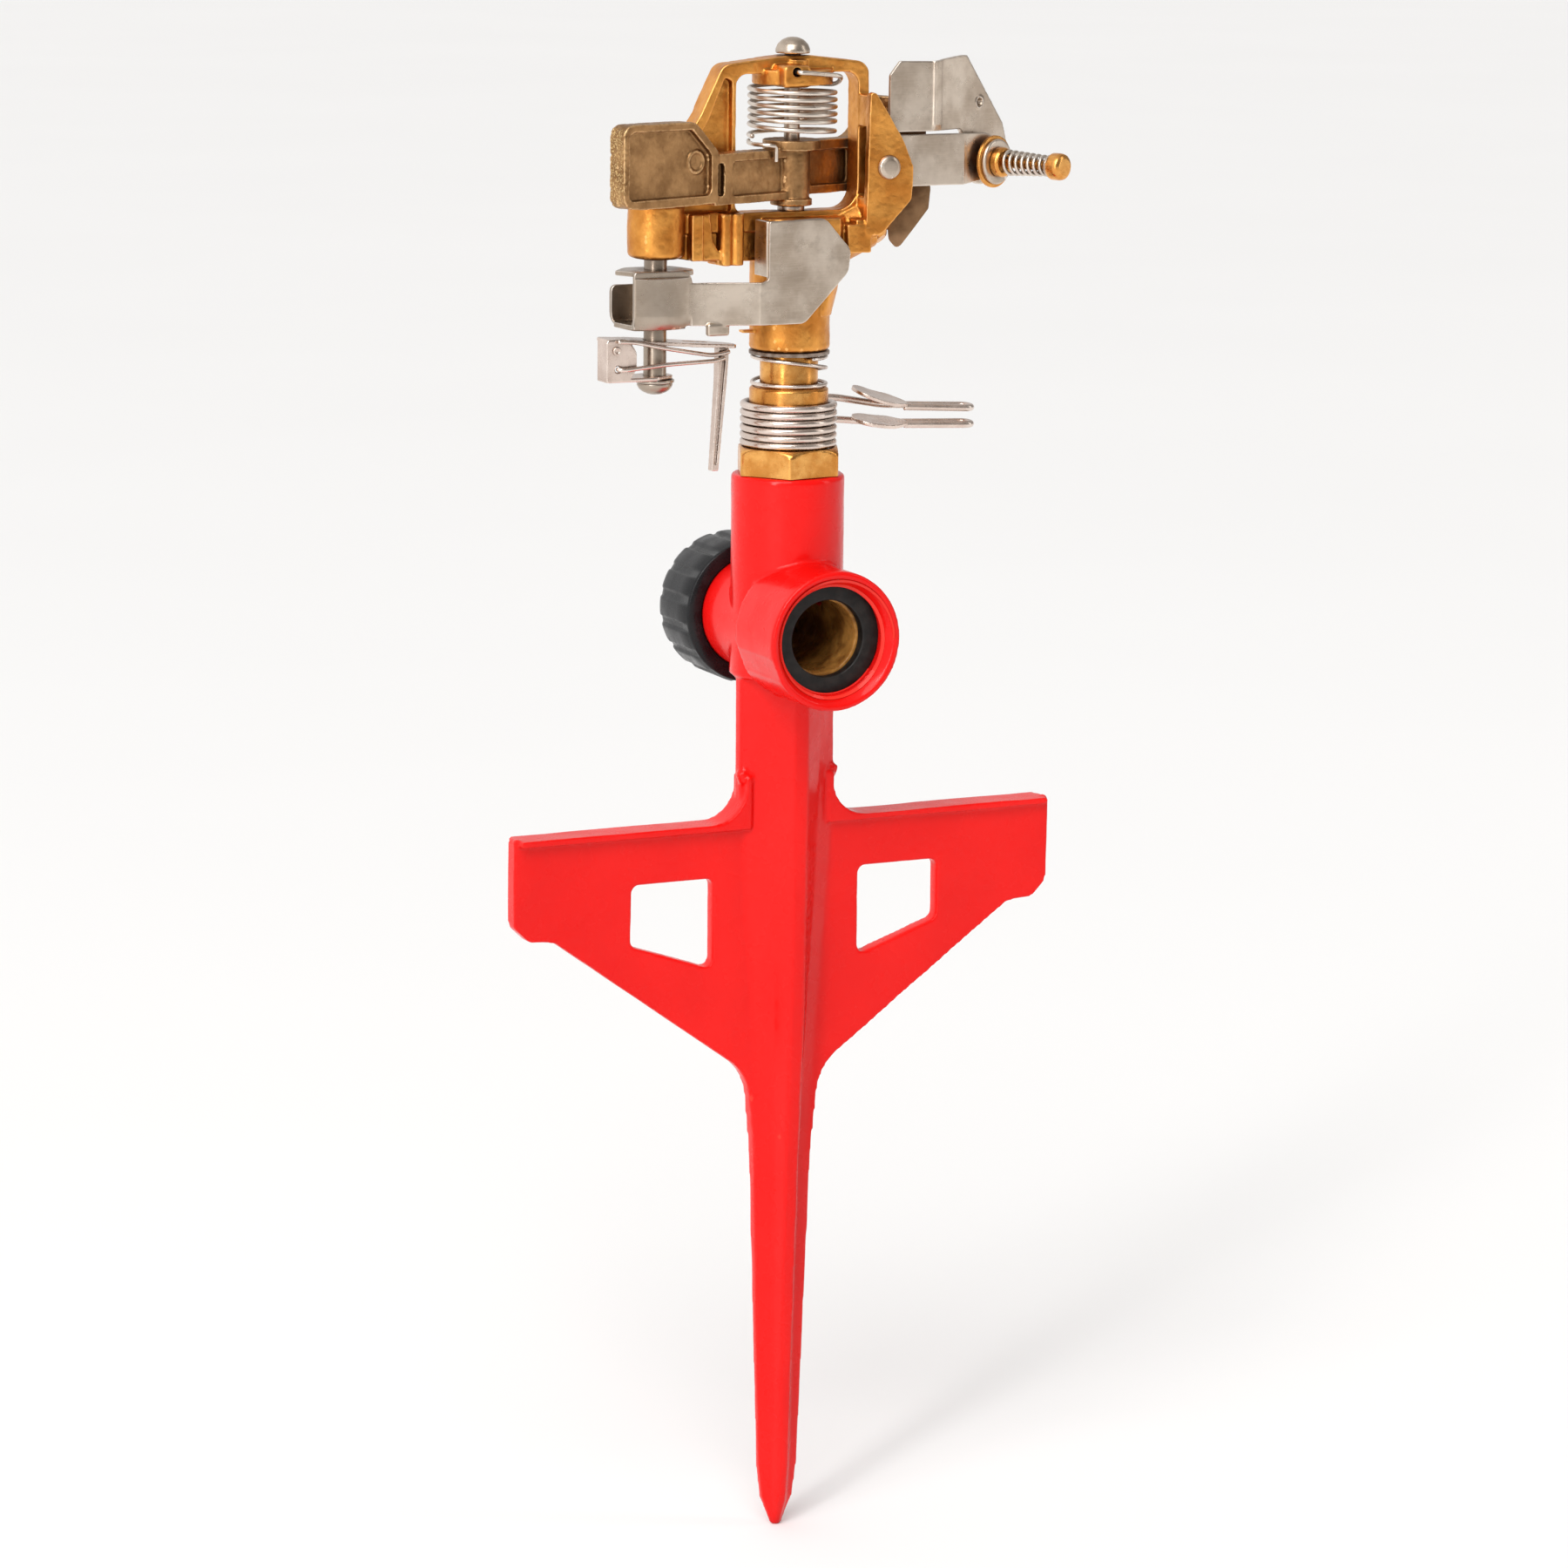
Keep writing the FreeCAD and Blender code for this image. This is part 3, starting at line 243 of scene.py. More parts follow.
def spoon_bronze():
    g = Graph("spoon_bronze")
    # The spoon's colours are its bronze darkened as seen in shade: painted shade.
    colour = g.mix(g.ramp(g.noise(6.0, 4, 0.6), 0.34, 0.68), (0.14, 0.075, 0.036), (0.27, 0.155, 0.078))
    # Lighter below 141 mm height.
    colour = g.mix(g.ramp(g.coordinate("Z"), 141 * MM, 138 * MM, 0.0, 0.5), colour, (0.45, 0.27, 0.15))
    # Edges lightened: a painted highlight.
    colour = g.mix(g.ramp(g.pointiness(), 0.515, 0.60, 0.0, 0.6), colour, (0.50, 0.32, 0.18))
    g.bump(g.noise(0.7, 4, 0.6), 0.03, 0.7)
    return g.finish(colour, g.ramp(g.noise(2.2, 3), 0.3, 0.7, 0.38, 0.55), Metallic=0.9)


def turned_metal(name, light, dark, rough, groove_axis=(1, 1, 0.02)):
    """Lathe-turned metal: fine rings across its axis, a few smudges and painted shade in its recesses."""
    g = Graph(name)
    colour = g.mix(g.ramp(g.noise(4.5, 3, 0.6), 0.34, 0.70), dark, light)
    tarnish_and_shade = tuple(channel * 0.45 for channel in dark)
    colour = g.mix(g.ramp(g.noise(1.1, 4, 0.7), 0.66, 0.80, 0.0, 0.4), colour, tarnish_and_shade)
    # Painted shade in corners, in the tarnish colour.
    colour = with_painted_shade(g, colour, 2.5, tarnish_and_shade, 0.8)
    g.bump(g.noise(12.0, 2, 0.7, groove_axis), 0.012, 0.6)
    return g.finish(colour, g.ramp(g.noise(2.4, 4, 0.65), 0.3, 0.72, rough - 0.05, rough + 0.12), Metallic=1.0)


def sheet_steel(name, light, dark, rough, cloud=0.5, grain=(9, 9, 0.25), painted_shade_end=False):
    """Pressed stainless sheet: a brushed grain, cloudy smudges, painted shade in its recesses, edges lightened as
    sheared metal and as a painted highlight, and painted shade over the trip end.
    """
    g = Graph(name)
    colour = g.mix(g.ramp(g.noise(11.0, 4, 0.6), 0.33, 0.70), dark, light)
    smudge = tuple(channel * 0.78 for channel in dark)
    colour = g.mix(g.ramp(g.noise(4.5, 4, 0.65), 0.52, 0.74, 0.0, cloud), colour, smudge)
    streak = g.noise(0.5, 3, 0.7, grain)
    colour = g.mix(g.ramp(streak, 0.35, 0.75, 0.0, 0.22), colour, tuple(min(1, c * 1.12) for c in light))
    if painted_shade_end:
        # Painted shade: the trip end is darkened from x = -26 mm towards -31 mm.
        end_shade = tuple(channel * 0.68 for channel in dark)
        colour = g.mix(g.ramp(g.coordinate("X"), -26 * MM, -31 * MM, 0.0, 0.6), colour, end_shade)
    # Painted shade in corners and recesses.
    colour = with_painted_shade(g, colour, 3.0, (0.14, 0.10, 0.075), 0.8)
    # Edges lightened: partly bright sheared metal, partly a painted highlight.
    colour = g.mix(g.ramp(g.pointiness(), 0.51, 0.56, 0.0, 0.75), colour, (0.86, 0.79, 0.72))
    g.bump(g.noise(7.0, 2), 0.08, 0.35)
    g.bump(streak, 0.008, 0.6)
    return g.finish(colour, g.ramp(g.noise(3.0, 4, 0.65), 0.3, 0.72, rough - 0.04, rough + 0.10), Metallic=1.0)


def black_moulding():
    g = Graph("black_moulding")
    colour = g.mix(g.ramp(g.noise(6.0, 3), 0.3, 0.7), (0.004, 0.004, 0.005), (0.010, 0.010, 0.011))
    g.bump(g.noise(0.5, 3, 0.6), 0.012, 0.6)
    return g.finish(colour, g.ramp(g.noise(3.0, 4, 0.6), 0.3, 0.7, 0.20, 0.36), Specular_IOR_Level=0.28)


def black_rubber():
    g = Graph("black_rubber")
    colour = g.mix(g.ramp(g.noise(2.5, 4), 0.35, 0.7), (0.006, 0.0055, 0.005), (0.016, 0.014, 0.012))
    g.bump(g.noise(0.35, 3, 0.7), 0.02, 0.7)
    return g.finish(colour, g.ramp(g.noise(2.0, 3), 0.3, 0.7, 0.42, 0.6), Specular_IOR_Level=0.3)


def grey_washer():
    g = Graph("grey_washer")
    colour = g.mix(g.ramp(g.noise(2.0, 4), 0.35, 0.7), (0.16, 0.11, 0.08), (0.36, 0.29, 0.24))
    g.bump(g.noise(0.4, 3, 0.7), 0.015, 0.6)
    return g.finish(colour, g.ramp(g.noise(1.5, 3), 0.3, 0.7, 0.35, 0.5), Metallic=0.4)


MATERIALS = {
    "red_paint": enamel(),
    "cast_brass": cast_metal("cast_brass", (0.84, 0.38, 0.085), (0.56, 0.205, 0.036), (0.95, 0.58, 0.22), 0.34, skin_mm=0.07),
    "machined_brass": turned_metal("machined_brass", (0.88, 0.45, 0.13), (0.64, 0.26, 0.055), 0.22),
    "arm_bronze": arm_bronze(),
    "spoon_bronze": spoon_bronze(),
    "brushed_stainless": sheet_steel("brushed_stainless", (0.70, 0.60, 0.50), (0.45, 0.36, 0.28), 0.30,
                                     painted_shade_end=True),
    "bright_stainless": sheet_steel("bright_stainless", (0.80, 0.66, 0.58), (0.58, 0.45, 0.38), 0.24, cloud=0.2),
    "grey_washer": grey_washer(),
    "black_plastic": black_moulding(),
    "black_rubber": black_rubber(),
}


# ---------------------------------------------------------------- meshes
def add_piece(name, mesh, node, *more_nodes):
    """Gives a finished mesh its material, its body and the CAD nodes it stands for."""
    obj = bpy.data.objects.new(name, mesh)
    bpy.context.scene.collection.objects.link(obj)
    mesh.materials.clear()
    mesh.materials.append(MATERIALS[SLOT_OF[node]])
    mesh.polygons.foreach_set("use_smooth", [True] * len(mesh.polygons))
    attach(obj, BODY_OF[node])
    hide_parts(node, *more_nodes)
    return obj


def mesh_of(verts, faces, name="mesh"):
    mesh = bpy.data.meshes.new(name)
    mesh.from_pydata([Vector(v) * MM for v in verts], [], faces)
    mesh.update()
    return mesh


def rounded(points, radius, closed=True, steps=4):
    """A plane outline with its corners rounded; a point may carry its own radius as a third value."""
    out = []
    count = len(points)
    for i, point in enumerate(points):
        here = Vector(point[:2])
        own = point[2] if len(point) > 2 else radius
        if not closed and i in (0, count - 1) or not own:
            out.append(tuple(here))
            continue
        back = Vector(points[i - 1][:2]) - here
        ahead = Vector(points[(i + 1) % count][:2]) - here
        reach = min(own, 0.45 * back.length, 0.45 * ahead.length)
        first, last = here + back.normalized() * reach, here + ahead.normalized() * reach
        for k in range(steps + 1):
            t = k / steps
            out.append(tuple(first * (1 - t) ** 2 + here * 2 * t * (1 - t) + last * t ** 2))
    return out


def axes_for(direction):
    """Two unit vectors across a direction."""
    direction = Vector(direction).normalized()
    helper = Vector((1, 0, 0)) if abs(direction.x) < 0.9 else Vector((0, 1, 0))
    first = (helper - direction * helper.dot(direction)).normalized()
    return first, direction.cross(first)


def lathe(profile, origin=(0, 0, 0), axis=(0, 0, 1), round_mm=0.25, segments=112, solid=True):
    """A body of revolution from (radius, height) points; solid profiles start and end on the axis."""
    origin, axis = Vector(origin), Vector(axis).normalized()
    across, other = axes_for(axis)
    outline = rounded(profile, round_mm, closed=not solid)
    rings = []
    verts = []
    for radius, height in outline:
        if radius < 1e-6:
            rings.append([len(verts)])
            verts.append(origin + axis * height)
            continue
        rings.append(list(range(len(verts), len(verts) + segments)))
        for k in range(segments):
            a = 2 * math.pi * k / segments
            verts.append(origin + axis * height + (across * math.cos(a) + other * math.sin(a)) * radius)
    faces = []
    pairs = list(zip(rings, rings[1:])) + ([] if solid else [(rings[-1], rings[0])])
    for low, high in pairs:
        for k in range(segments):
            n = (k + 1) % segments
            quad = [low[k % len(low)], low[n % len(low)], high[n % len(high)], high[k % len(high)]]
            quad = list(dict.fromkeys(quad))
            if len(quad) > 2:
                faces.append(quad)
    mesh = mesh_of(verts, faces)
    fix_normals(mesh)
    return mesh


def fix_normals(mesh):
    bm = bmesh.new()
    bm.from_mesh(mesh)
    bmesh.ops.remove_doubles(bm, verts=bm.verts, dist=1e-7)
    bmesh.ops.recalc_face_normals(bm, faces=bm.faces)
    bm.to_mesh(mesh)
    bm.free()


def merged(meshes):
    bm = bmesh.new()
    for mesh in meshes:
        bm.from_mesh(mesh)
    whole = bpy.data.meshes.new("merged")
    bm.to_mesh(whole)
    bm.free()
    return whole


def sweep(path, radius, sides=18):
    """Round wire along a dense path, with domed ends."""
    points = [Vector(p) for p in path]
    tangents = [(points[min(i + 1, len(points) - 1)] - points[max(i - 1, 0)]).normalized() for i in range(len(points))]
    side, _ = axes_for(tangents[0])
    verts, faces = [], []
    rings = []

    def ring(centre, tangent, size):
        other = tangent.cross(side)
        rings.append(len(verts))
        for k in range(sides):
            a = 2 * math.pi * k / sides
            verts.append(centre + (side * math.cos(a) + other * math.sin(a)) * size)

    dome = [(-0.95, 0.3), (-0.75, 0.66), (-0.4, 0.92)]
    for along, share in dome:
        ring(points[0] + tangents[0] * along * radius * 0.6 + tangents[0] * radius * 0.6, tangents[0], radius * share)
    for i, (point, tangent) in enumerate(zip(points, tangents)):
        side = (side - tangent * side.dot(tangent)).normalized()
        if i == 0 or i == len(points) - 1:
            continue
        ring(point, tangent, radius)
    for along, share in reversed(dome):
        ring(points[-1] - tangents[-1] * along * radius * 0.6 - tangents[-1] * radius * 0.6, tangents[-1], radius * share)
    for low, high in zip(rings, rings[1:]):
        for k in range(sides):
            n = (k + 1) % sides
            faces.append([low + k, low + n, high + n, high + k])
    faces.append(list(range(rings[0], rings[0] + sides))[::-1])
    faces.append(list(range(rings[-1], rings[-1] + sides)))
    return mesh_of(verts, faces)


def bent(points, bend, spacing=0.35):
    """A dense path along straight runs whose corners are bent to a radius of about bend."""
    points = [Vector(p) for p in points]
    path = [points[0]]
    for i in range(1, len(points) - 1):
        back, ahead = points[i - 1] - points[i], points[i + 1] - points[i]
        reach = min(bend, 0.48 * back.length, 0.48 * ahead.length)
        first, last = points[i] + back.normalized() * reach, points[i] + ahead.normalized() * reach
        for k in range(9):
            t = k / 8
            path.append(first * (1 - t) ** 2 + points[i] * 2 * t * (1 - t) + last * t ** 2)
    path.append(points[-1])
    dense = [path[0]]
    for a, b in zip(path, path[1:]):
        steps = max(1, round((b - a).length / spacing))
        dense += [a + (b - a) * (k / steps) for k in range(1, steps + 1)]
    return dense


def helix(radius, start, end, turns, end_angle, direction=-1, per_turn=44):
    """Points of a coil about the swivel axis; radius may be a function of the share done."""
    size = radius if callable(radius) else (lambda share: radius)
    count = round(turns * per_turn)
    points = []
    for i in range(count + 1):
        share = i / count
        a = math.radians(end_angle) - direction * 2 * math.pi * turns * (1 - share)
        points.append(Vector((size(share) * math.cos(a), size(share) * math.sin(a), start + (end - start) * share)))
    return points


def torus(centre, axis, radius, thick, segments=40, sides=10):
    """A plain raised ring."""
    centre = Vector(centre)
    first, other = axes_for(axis)
    verts, faces = [], []
    for i in range(segments):
        a = 2 * math.pi * i / segments
        out = first * math.cos(a) + other * math.sin(a)
        for k in range(sides):
            b = 2 * math.pi * k / sides
            verts.append(centre + out * (radius + thick * math.cos(b)) + Vector(axis).normalized() * thick * math.sin(b))
    for i in range(segments):
        for k in range(sides):
            i2, k2 = (i + 1) % segments, (k + 1) % sides
            faces.append([i * sides + k, i2 * sides + k, i2 * sides + k2, i * sides + k2])
    return mesh_of(verts, faces)


def solid_copy(node):
    """A copy of a CAD node's mesh, welded shut."""
    mesh = frame["nodes"][node].data.copy()
    bm = bmesh.new()
    bm.from_mesh(mesh)
    bmesh.ops.remove_doubles(bm, verts=bm.verts, dist=2e-6)
    bm.to_mesh(mesh)
    bm.free()
    return mesh


def applied(mesh, *modifiers):
    """The mesh after some modifiers, each given as (type, settings)."""
    obj = bpy.data.objects.new("work", mesh)
    bpy.context.scene.collection.objects.link(obj)
    for kind, settings in modifiers:
        modifier = obj.modifiers.new(kind, kind)
        for name, value in settings.items():
            setattr(modifier, name, value)
    depsgraph = bpy.context.evaluated_depsgraph_get()
    result = bpy.data.meshes.new_from_object(obj.evaluated_get(depsgraph))
    bpy.data.objects.remove(obj)
    return result


def softened(node, voxel, rounds, extras=()):
    """The CAD shape, with any extra bodies merged in, and every edge eased as on a casting or pressing."""
    size = voxel * MM * 1.0
    mesh = merged([solid_copy(node), *extras])
    return applied(mesh, ("REMESH", {"mode": "VOXEL", "voxel_size": size, "adaptivity": 0.0}),
                   ("SMOOTH", {"factor": 0.5, "iterations": rounds}))


def coordinates(mesh):
    co = np.zeros(len(mesh.vertices) * 3)
    mesh.vertices.foreach_get("co", co)
    return co.reshape(-1, 3) / MM


def set_coordinates(mesh, co):
    mesh.vertices.foreach_set("co", (co * MM).ravel())
    mesh.update()


def normals(mesh):
    no = np.zeros(len(mesh.vertices) * 3)
    mesh.vertices.foreach_get("normal", no)
    return no.reshape(-1, 3)


def trued(mesh, centre, axis, radius, low, high, slack=0.16):
    """Moves the skin of a cylinder onto its true radius, between two heights along its axis."""
    co = coordinates(mesh)
    centre, axis = np.array(centre, float), np.array(axis, float)
    relative = co - centre
    along = relative @ axis
    out = relative - np.outer(along, axis)
    size = np.linalg.norm(out, axis=1)
    facing = np.abs(np.einsum("ij,ij->i", normals(mesh), out) / np.maximum(size, 1e-6))
    chosen = (np.abs(size - radius) < slack) & (along > low) & (along < high) & (facing > 0.9)
    co[chosen] += out[chosen] * ((radius - 0.02) / size[chosen] - 1)[:, None]
    set_coordinates(mesh, co)


def roughened(mesh, size_mm, depth_mm, seed=0.0, where=None):
    """Moves the skin in and out by smooth noise, for the unevenness of a casting."""
    co = coordinates(mesh)
    no = normals(mesh)
    shift = Vector((seed, -seed, seed * 0.5))
    heights = np.array([noise.noise(Vector(p) / size_mm + shift) for p in co])
    if where is not None:
        heights = heights * where(co)
    set_coordinates(mesh, co + no * (heights * depth_mm - depth_mm * 0.5 * np.abs(heights))[:, None])


# ---------------------------------------------------------------- the spike and its fittings
def across_tee(profile, **settings):
    """A lathed body on the inlet's axis; heights are y values."""
    return lathe(profile, origin=(0, 0, TEE_Z), axis=BACK, **settings)


def build_spike():
    low, high = (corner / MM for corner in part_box("tee_casting"))
    wing_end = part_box("spike_blade")[1].x / MM
    nubs = []
    for side in (-1, 1):
        profile = [(0, 0), (1.5, 0), (1.5, 3.0), (0, 3.0)]
        nubs.append(lathe(profile, origin=(side * 11.2, -1.6, 9.6), axis=(side * 0.35, 0.0, 1), round_mm=0.6, segments=20))
        nubs.append(lathe([(0, 0), (1.1, 0), (1.1, 2.4), (0, 2.4)], origin=(side * (wing_end - 2.4), -1.2, -1.4),
                          axis=(side, 0, 0.5), round_mm=0.5, segments=20))
    mesh = softened("tee_casting", 0.5, 4, [lengthened(solid_copy("spike_blade"), low.z, 2.0), *nubs])
    trued(mesh, (0, 0, 0), (0, 0, 1), 13.5, 60, high.z - 1.2)
    trued(mesh, (0, 0, TEE_Z), (0, 1, 0), 16.7, low.y + 1.2, -8)
    trued(mesh, (0, 0, TEE_Z), (0, 1, 0), 13.9, 8, 17.5)
    trued(mesh, (0, 0, TEE_Z), (0, 1, 0), 13.1, low.y + 1.6, -23.4)
    open_mouth(mesh, low.y)
    roughened(mesh, 14.0, 0.16, 3.1)
    roughened(mesh, 3.4, 0.035, 9.4)
    add_piece("spike", mesh, "tee_casting", "spike_blade")
    build_inlet_thread(low.y)


MOUTH_R = 13.1
MOUTH_EDGE_R = 15.6
MOUTH_DEPTH = 3.0


def mouth_depth(radius):
    """How far the mouth's bell has gone in at a radius."""
    share = np.clip((MOUTH_EDGE_R - radius) / (MOUTH_EDGE_R - MOUTH_R), 0, 1)
    return MOUTH_DEPTH * share ** 1.4


def open_mouth(mesh, front_y):
    """Opens the inlet's mouth to a bell with a thin lip."""
    co = coordinates(mesh)
    radius = np.hypot(co[:, 0], co[:, 2] - TEE_Z)
    chosen = (radius < MOUTH_EDGE_R + 0.2) & (radius > MOUTH_R - 0.6) & (co[:, 1] < front_y + MOUTH_DEPTH)
    floor = front_y + mouth_depth(radius)
    co[chosen, 1] = np.maximum(co[chosen, 1], floor[chosen])
    set_coordinates(mesh, co)


def lengthened(mesh, end_z, extra):
    """Moves a mesh's level top face up, so that it reaches into the piece above."""
    co = coordinates(mesh)
    co[co[:, 2] > end_z - 0.05, 2] += extra
    set_coordinates(mesh, co)
    return mesh


def build_inlet_thread(front_y):
    """The hose thread's ridge, wound inside the mouth."""
    pitch = 2.2087
    depth = 0.4
    turns = 1.9
    per_turn = 90
    count = round(turns * per_turn)
    verts, faces = [], []
    section = [(0.7, 0.3), (0.15, -depth), (-0.15, -depth), (-0.7, 0.3)]
    for i in range(count + 1):
        share = i / count
        taper = min(1.0, 8 * share, 8 * (1 - share))
        a = 2 * math.pi * turns * share
        y = front_y + 0.5 + pitch * turns * share
        wall = MOUTH_EDGE_R - (MOUTH_EDGE_R - MOUTH_R) * min(1.0, (y - front_y) / MOUTH_DEPTH) ** (1 / 1.4)
        for along, inward in section:
            r = wall + (inward if inward > 0 else inward * taper)
            verts.append((r * math.cos(a), y + along * 0.9, TEE_Z + r * math.sin(a)))
    width = len(section)
    for i in range(count):
        for k in range(width):
            n = (k + 1) % width
            faces.append([i * width + k, i * width + n, (i + 1) * width + n, (i + 1) * width + k])
    faces.append(list(range(width)))
    faces.append(list(range(count * width, count * width + width))[::-1])
    mesh = mesh_of(verts, faces)
    fix_normals(mesh)
    obj = bpy.data.objects.new("inlet_thread", mesh)
    bpy.context.scene.collection.objects.link(obj)
    mesh.materials.append(MATERIALS["red_paint"])
    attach(obj, BODY_OF["tee_casting"])


def ring_from_box(node, hole, round_mm):
    """A washer on the inlet's axis, as large as its CAD node."""
    low, high = (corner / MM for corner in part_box(node))
    outer = (high.x - low.x) / 2
    return across_tee([(hole, low.y), (outer, low.y), (outer, high.y), (hole, high.y)], round_mm=round_mm, solid=False)


def build_inlet_washer():
    add_piece("hose_washer", ring_from_box("inlet_washer", 9.15, 0.6), "inlet_washer")
    add_piece("cap_seal", ring_from_box("hose_cap_washer", 8.7, 0.3), "hose_cap_washer")


def build_cap():
    """The moulded cap: sixteen broad grip ribs, a dished back and a thin rolled front edge."""
    low, high = (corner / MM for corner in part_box("hose_cap"))
    ribs = 16
    outer = (high.x - low.x) / 2 - 0.05
    bore = 13.75
    floor_y = high.y - 3.4
    per_rib = 18
    segments = ribs * per_rib
    stations = [(bore, low.y + 0.05, 0), (bore + 0.25, low.y, 0), (outer - 0.75, low.y, 0), (outer - 0.45, low.y + 0.3, 0),
                (outer - 0.40, low.y + 1.0, 0), (outer, low.y + 1.9, 0.62), (outer, low.y + 6, 0.62),
                (outer, low.y + 11, 0.62), (outer, high.y - 3.4, 0.62), (outer - 0.35, high.y - 1.9, 0.5),
                (outer - 1.1, high.y - 0.7, 0.2), (outer - 2.2, high.y - 0.12, 0), (outer - 3.4, high.y, 0),
                (outer - 5.0, high.y - 0.15, 0), (outer - 5.8, high.y - 0.6, 0), (5.0, high.y - 0.9, 0), (0, high.y - 0.95, 0)]
    inside = [(bore, low.y + 4, 0), (bore, floor_y - 0.3, 0), (bore - 0.3, floor_y, 0), (0, floor_y, 0)]
    verts, rings, faces = [], [], []
    for radius, y, groove in [*reversed(inside), *stations]:
        if radius == 0:
            rings.append([len(verts)])
            verts.append((0, y, TEE_Z))
            continue
        rings.append(list(range(len(verts), len(verts) + segments)))
        for k in range(segments):
            wave = 0.5 + 0.5 * math.cos(2 * math.pi * (k % per_rib) / per_rib)
            r = radius - groove * min(1.0, max(0.0, (wave - 0.72) / 0.16))
            a = 2 * math.pi * (k + per_rib / 2) / segments
            verts.append((r * math.cos(a), y, TEE_Z + r * math.sin(a)))
    for first, second in zip(rings, rings[1:]):
        for k in range(segments):
            n = (k + 1) % segments
            quad = list(dict.fromkeys([first[k % len(first)], first[n % len(first)],
                                       second[n % len(second)], second[k % len(second)]]))
            faces.append(quad)
    mesh = mesh_of(verts, faces)
    fix_normals(mesh)
    add_piece("cap", mesh, "hose_cap")


# ---------------------------------------------------------------- the bearing
def nut(flats, bottom, top, bore, turn=0.0, chamfer=0.9, origin=(0, 0, 0), axis=(0, 0, 1), lift=0.0, rows=7):
    """A hexagon with turned chamfers, whose flats meet them in shallow arcs."""
    origin, axis = Vector(origin), Vector(axis).normalized()
    across, other = axes_for(axis)
    half = flats / 2
    corner = half / math.cos(math.pi / 6)
    segments = 144
    verts, rings = [], []

    def limit(height):
        edge = min(height - bottom + lift, top - height)
        return min(corner - 0.12, half - 0.35 + math.sqrt(max(0.0, edge)) * chamfer)

    heights = [bottom]
    heights += [bottom + (top - bottom) * (0.5 - 0.5 * math.cos(math.pi * i / (rows * 2))) for i in range(1, rows * 2)]
    heights += [top]
    for height in heights:
        rings.append(range(len(verts), len(verts) + segments))
        for k in range(segments):
            a = 2 * math.pi * k / segments
            face = (a - turn + math.pi / 6) % (math.pi / 3) - math.pi / 6
            r = min(half / math.cos(face), limit(height))
            verts.append(origin + axis * height + (across * math.cos(a) + other * math.sin(a)) * r)
    for height in (top, bottom):
        rings.append(range(len(verts), len(verts) + segments))
        for k in range(segments):
            a = 2 * math.pi * k / segments
            verts.append(origin + axis * height + (across * math.cos(a) + other * math.sin(a)) * bore)
    order = rings + rings[:1]
    faces = []
    for first, second in zip(order, order[1:]):
        for k in range(segments):
            n = (k + 1) % segments
            faces.append([first[k], first[n], second[n], second[k]])
    mesh = mesh_of(verts, faces)
    fix_normals(mesh)
    return mesh


def build_bearing():
    low, high = (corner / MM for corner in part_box("bearing_nipple"))
    socket_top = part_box("tee_casting")[1].z / MM
    hex_top = 90.2
    collar_r = 9.4
    tube_r = 6.9
    hexagon = nut(23.2, socket_top + 0.1, hex_top, 7.05, turn=math.radians(8 + 30), chamfer=1.75, lift=1.6)
    collar = lathe([(tube_r + 0.1, hex_top - 0.6), (collar_r, hex_top - 0.6), (collar_r, high.z - 0.7), (collar_r - 0.7, high.z),
                    (tube_r + 0.45, high.z), (tube_r + 0.1, high.z - 0.4)], round_mm=0.22, solid=False)
    shank = lathe([(9.0, low.z), (10.4, low.z), (10.55, low.z + 2), (10.55, socket_top + 0.2), (9.0, socket_top + 0.2)],
                  round_mm=0.2, solid=False)
    add_piece("nipple", merged([hexagon, collar, shank]), "bearing_nipple")

    low, high = (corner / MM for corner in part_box("bearing_tube"))
    flange = 3.0
    add_piece("spindle", lathe([(5.0, low.z), (8.6, low.z), (8.6, low.z + flange), (tube_r, low.z + flange),
                                (tube_r, high.z), (5.0, high.z)], round_mm=0.2, solid=False), "bearing_tube")
    low, high = (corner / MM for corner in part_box("thrust_washer"))
    add_piece("head_washer", lathe([(tube_r + 0.1, low.z), (high.x, low.z), (high.x, high.z), (tube_r + 0.1, high.z)],
                                   round_mm=0.2, solid=False), "thrust_washer")
    for node, name in (("tube_seal", "soft_seal"), ("tube_washer", "hard_washer")):
        low, high = (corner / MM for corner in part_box(node))
        add_piece(name, lathe([(tube_r + 0.1, low.z), (high.x, low.z), (high.x, high.z), (tube_r + 0.1, high.z)],
                              round_mm=0.3, solid=False), node)
    low, high = (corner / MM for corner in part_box("bearing_spring"))
    wire = 0.45
    add_piece("lift_spring", sweep(joined_turns(8.8, [(0.6, low.z + wire, low.z + wire + 0.2),
                                                     (1.0, low.z + wire + 0.2, high.z - wire - 0.1),
                                                     (0.7, high.z - wire - 0.1, high.z - wire)], 30), wire), "bearing_spring")


def joined_turns(radius, stages, start_angle, direction=-1, per_turn=60):
    """One coil in stages of (turns, start height, end height)."""
    points = []
    angle = math.radians(start_angle)
    for turns, low, high in stages:
        count = round(turns * per_turn)
        for i in range(count + 1):
            if points and i == 0:
                continue
            share = i / count
            ease = share * share * (3 - 2 * share)
            a = angle + direction * 2 * math.pi * turns * share
            points.append(Vector((radius * math.cos(a), radius * math.sin(a), low + (high - low) * ease)))
        angle += direction * 2 * math.pi * turns
    return points


# ---------------------------------------------------------------- the head
def nozzle_point(along):
    return Vector((along * math.cos(NOZZLE_TILT), 0, 133.6 + along * math.sin(NOZZLE_TILT)))


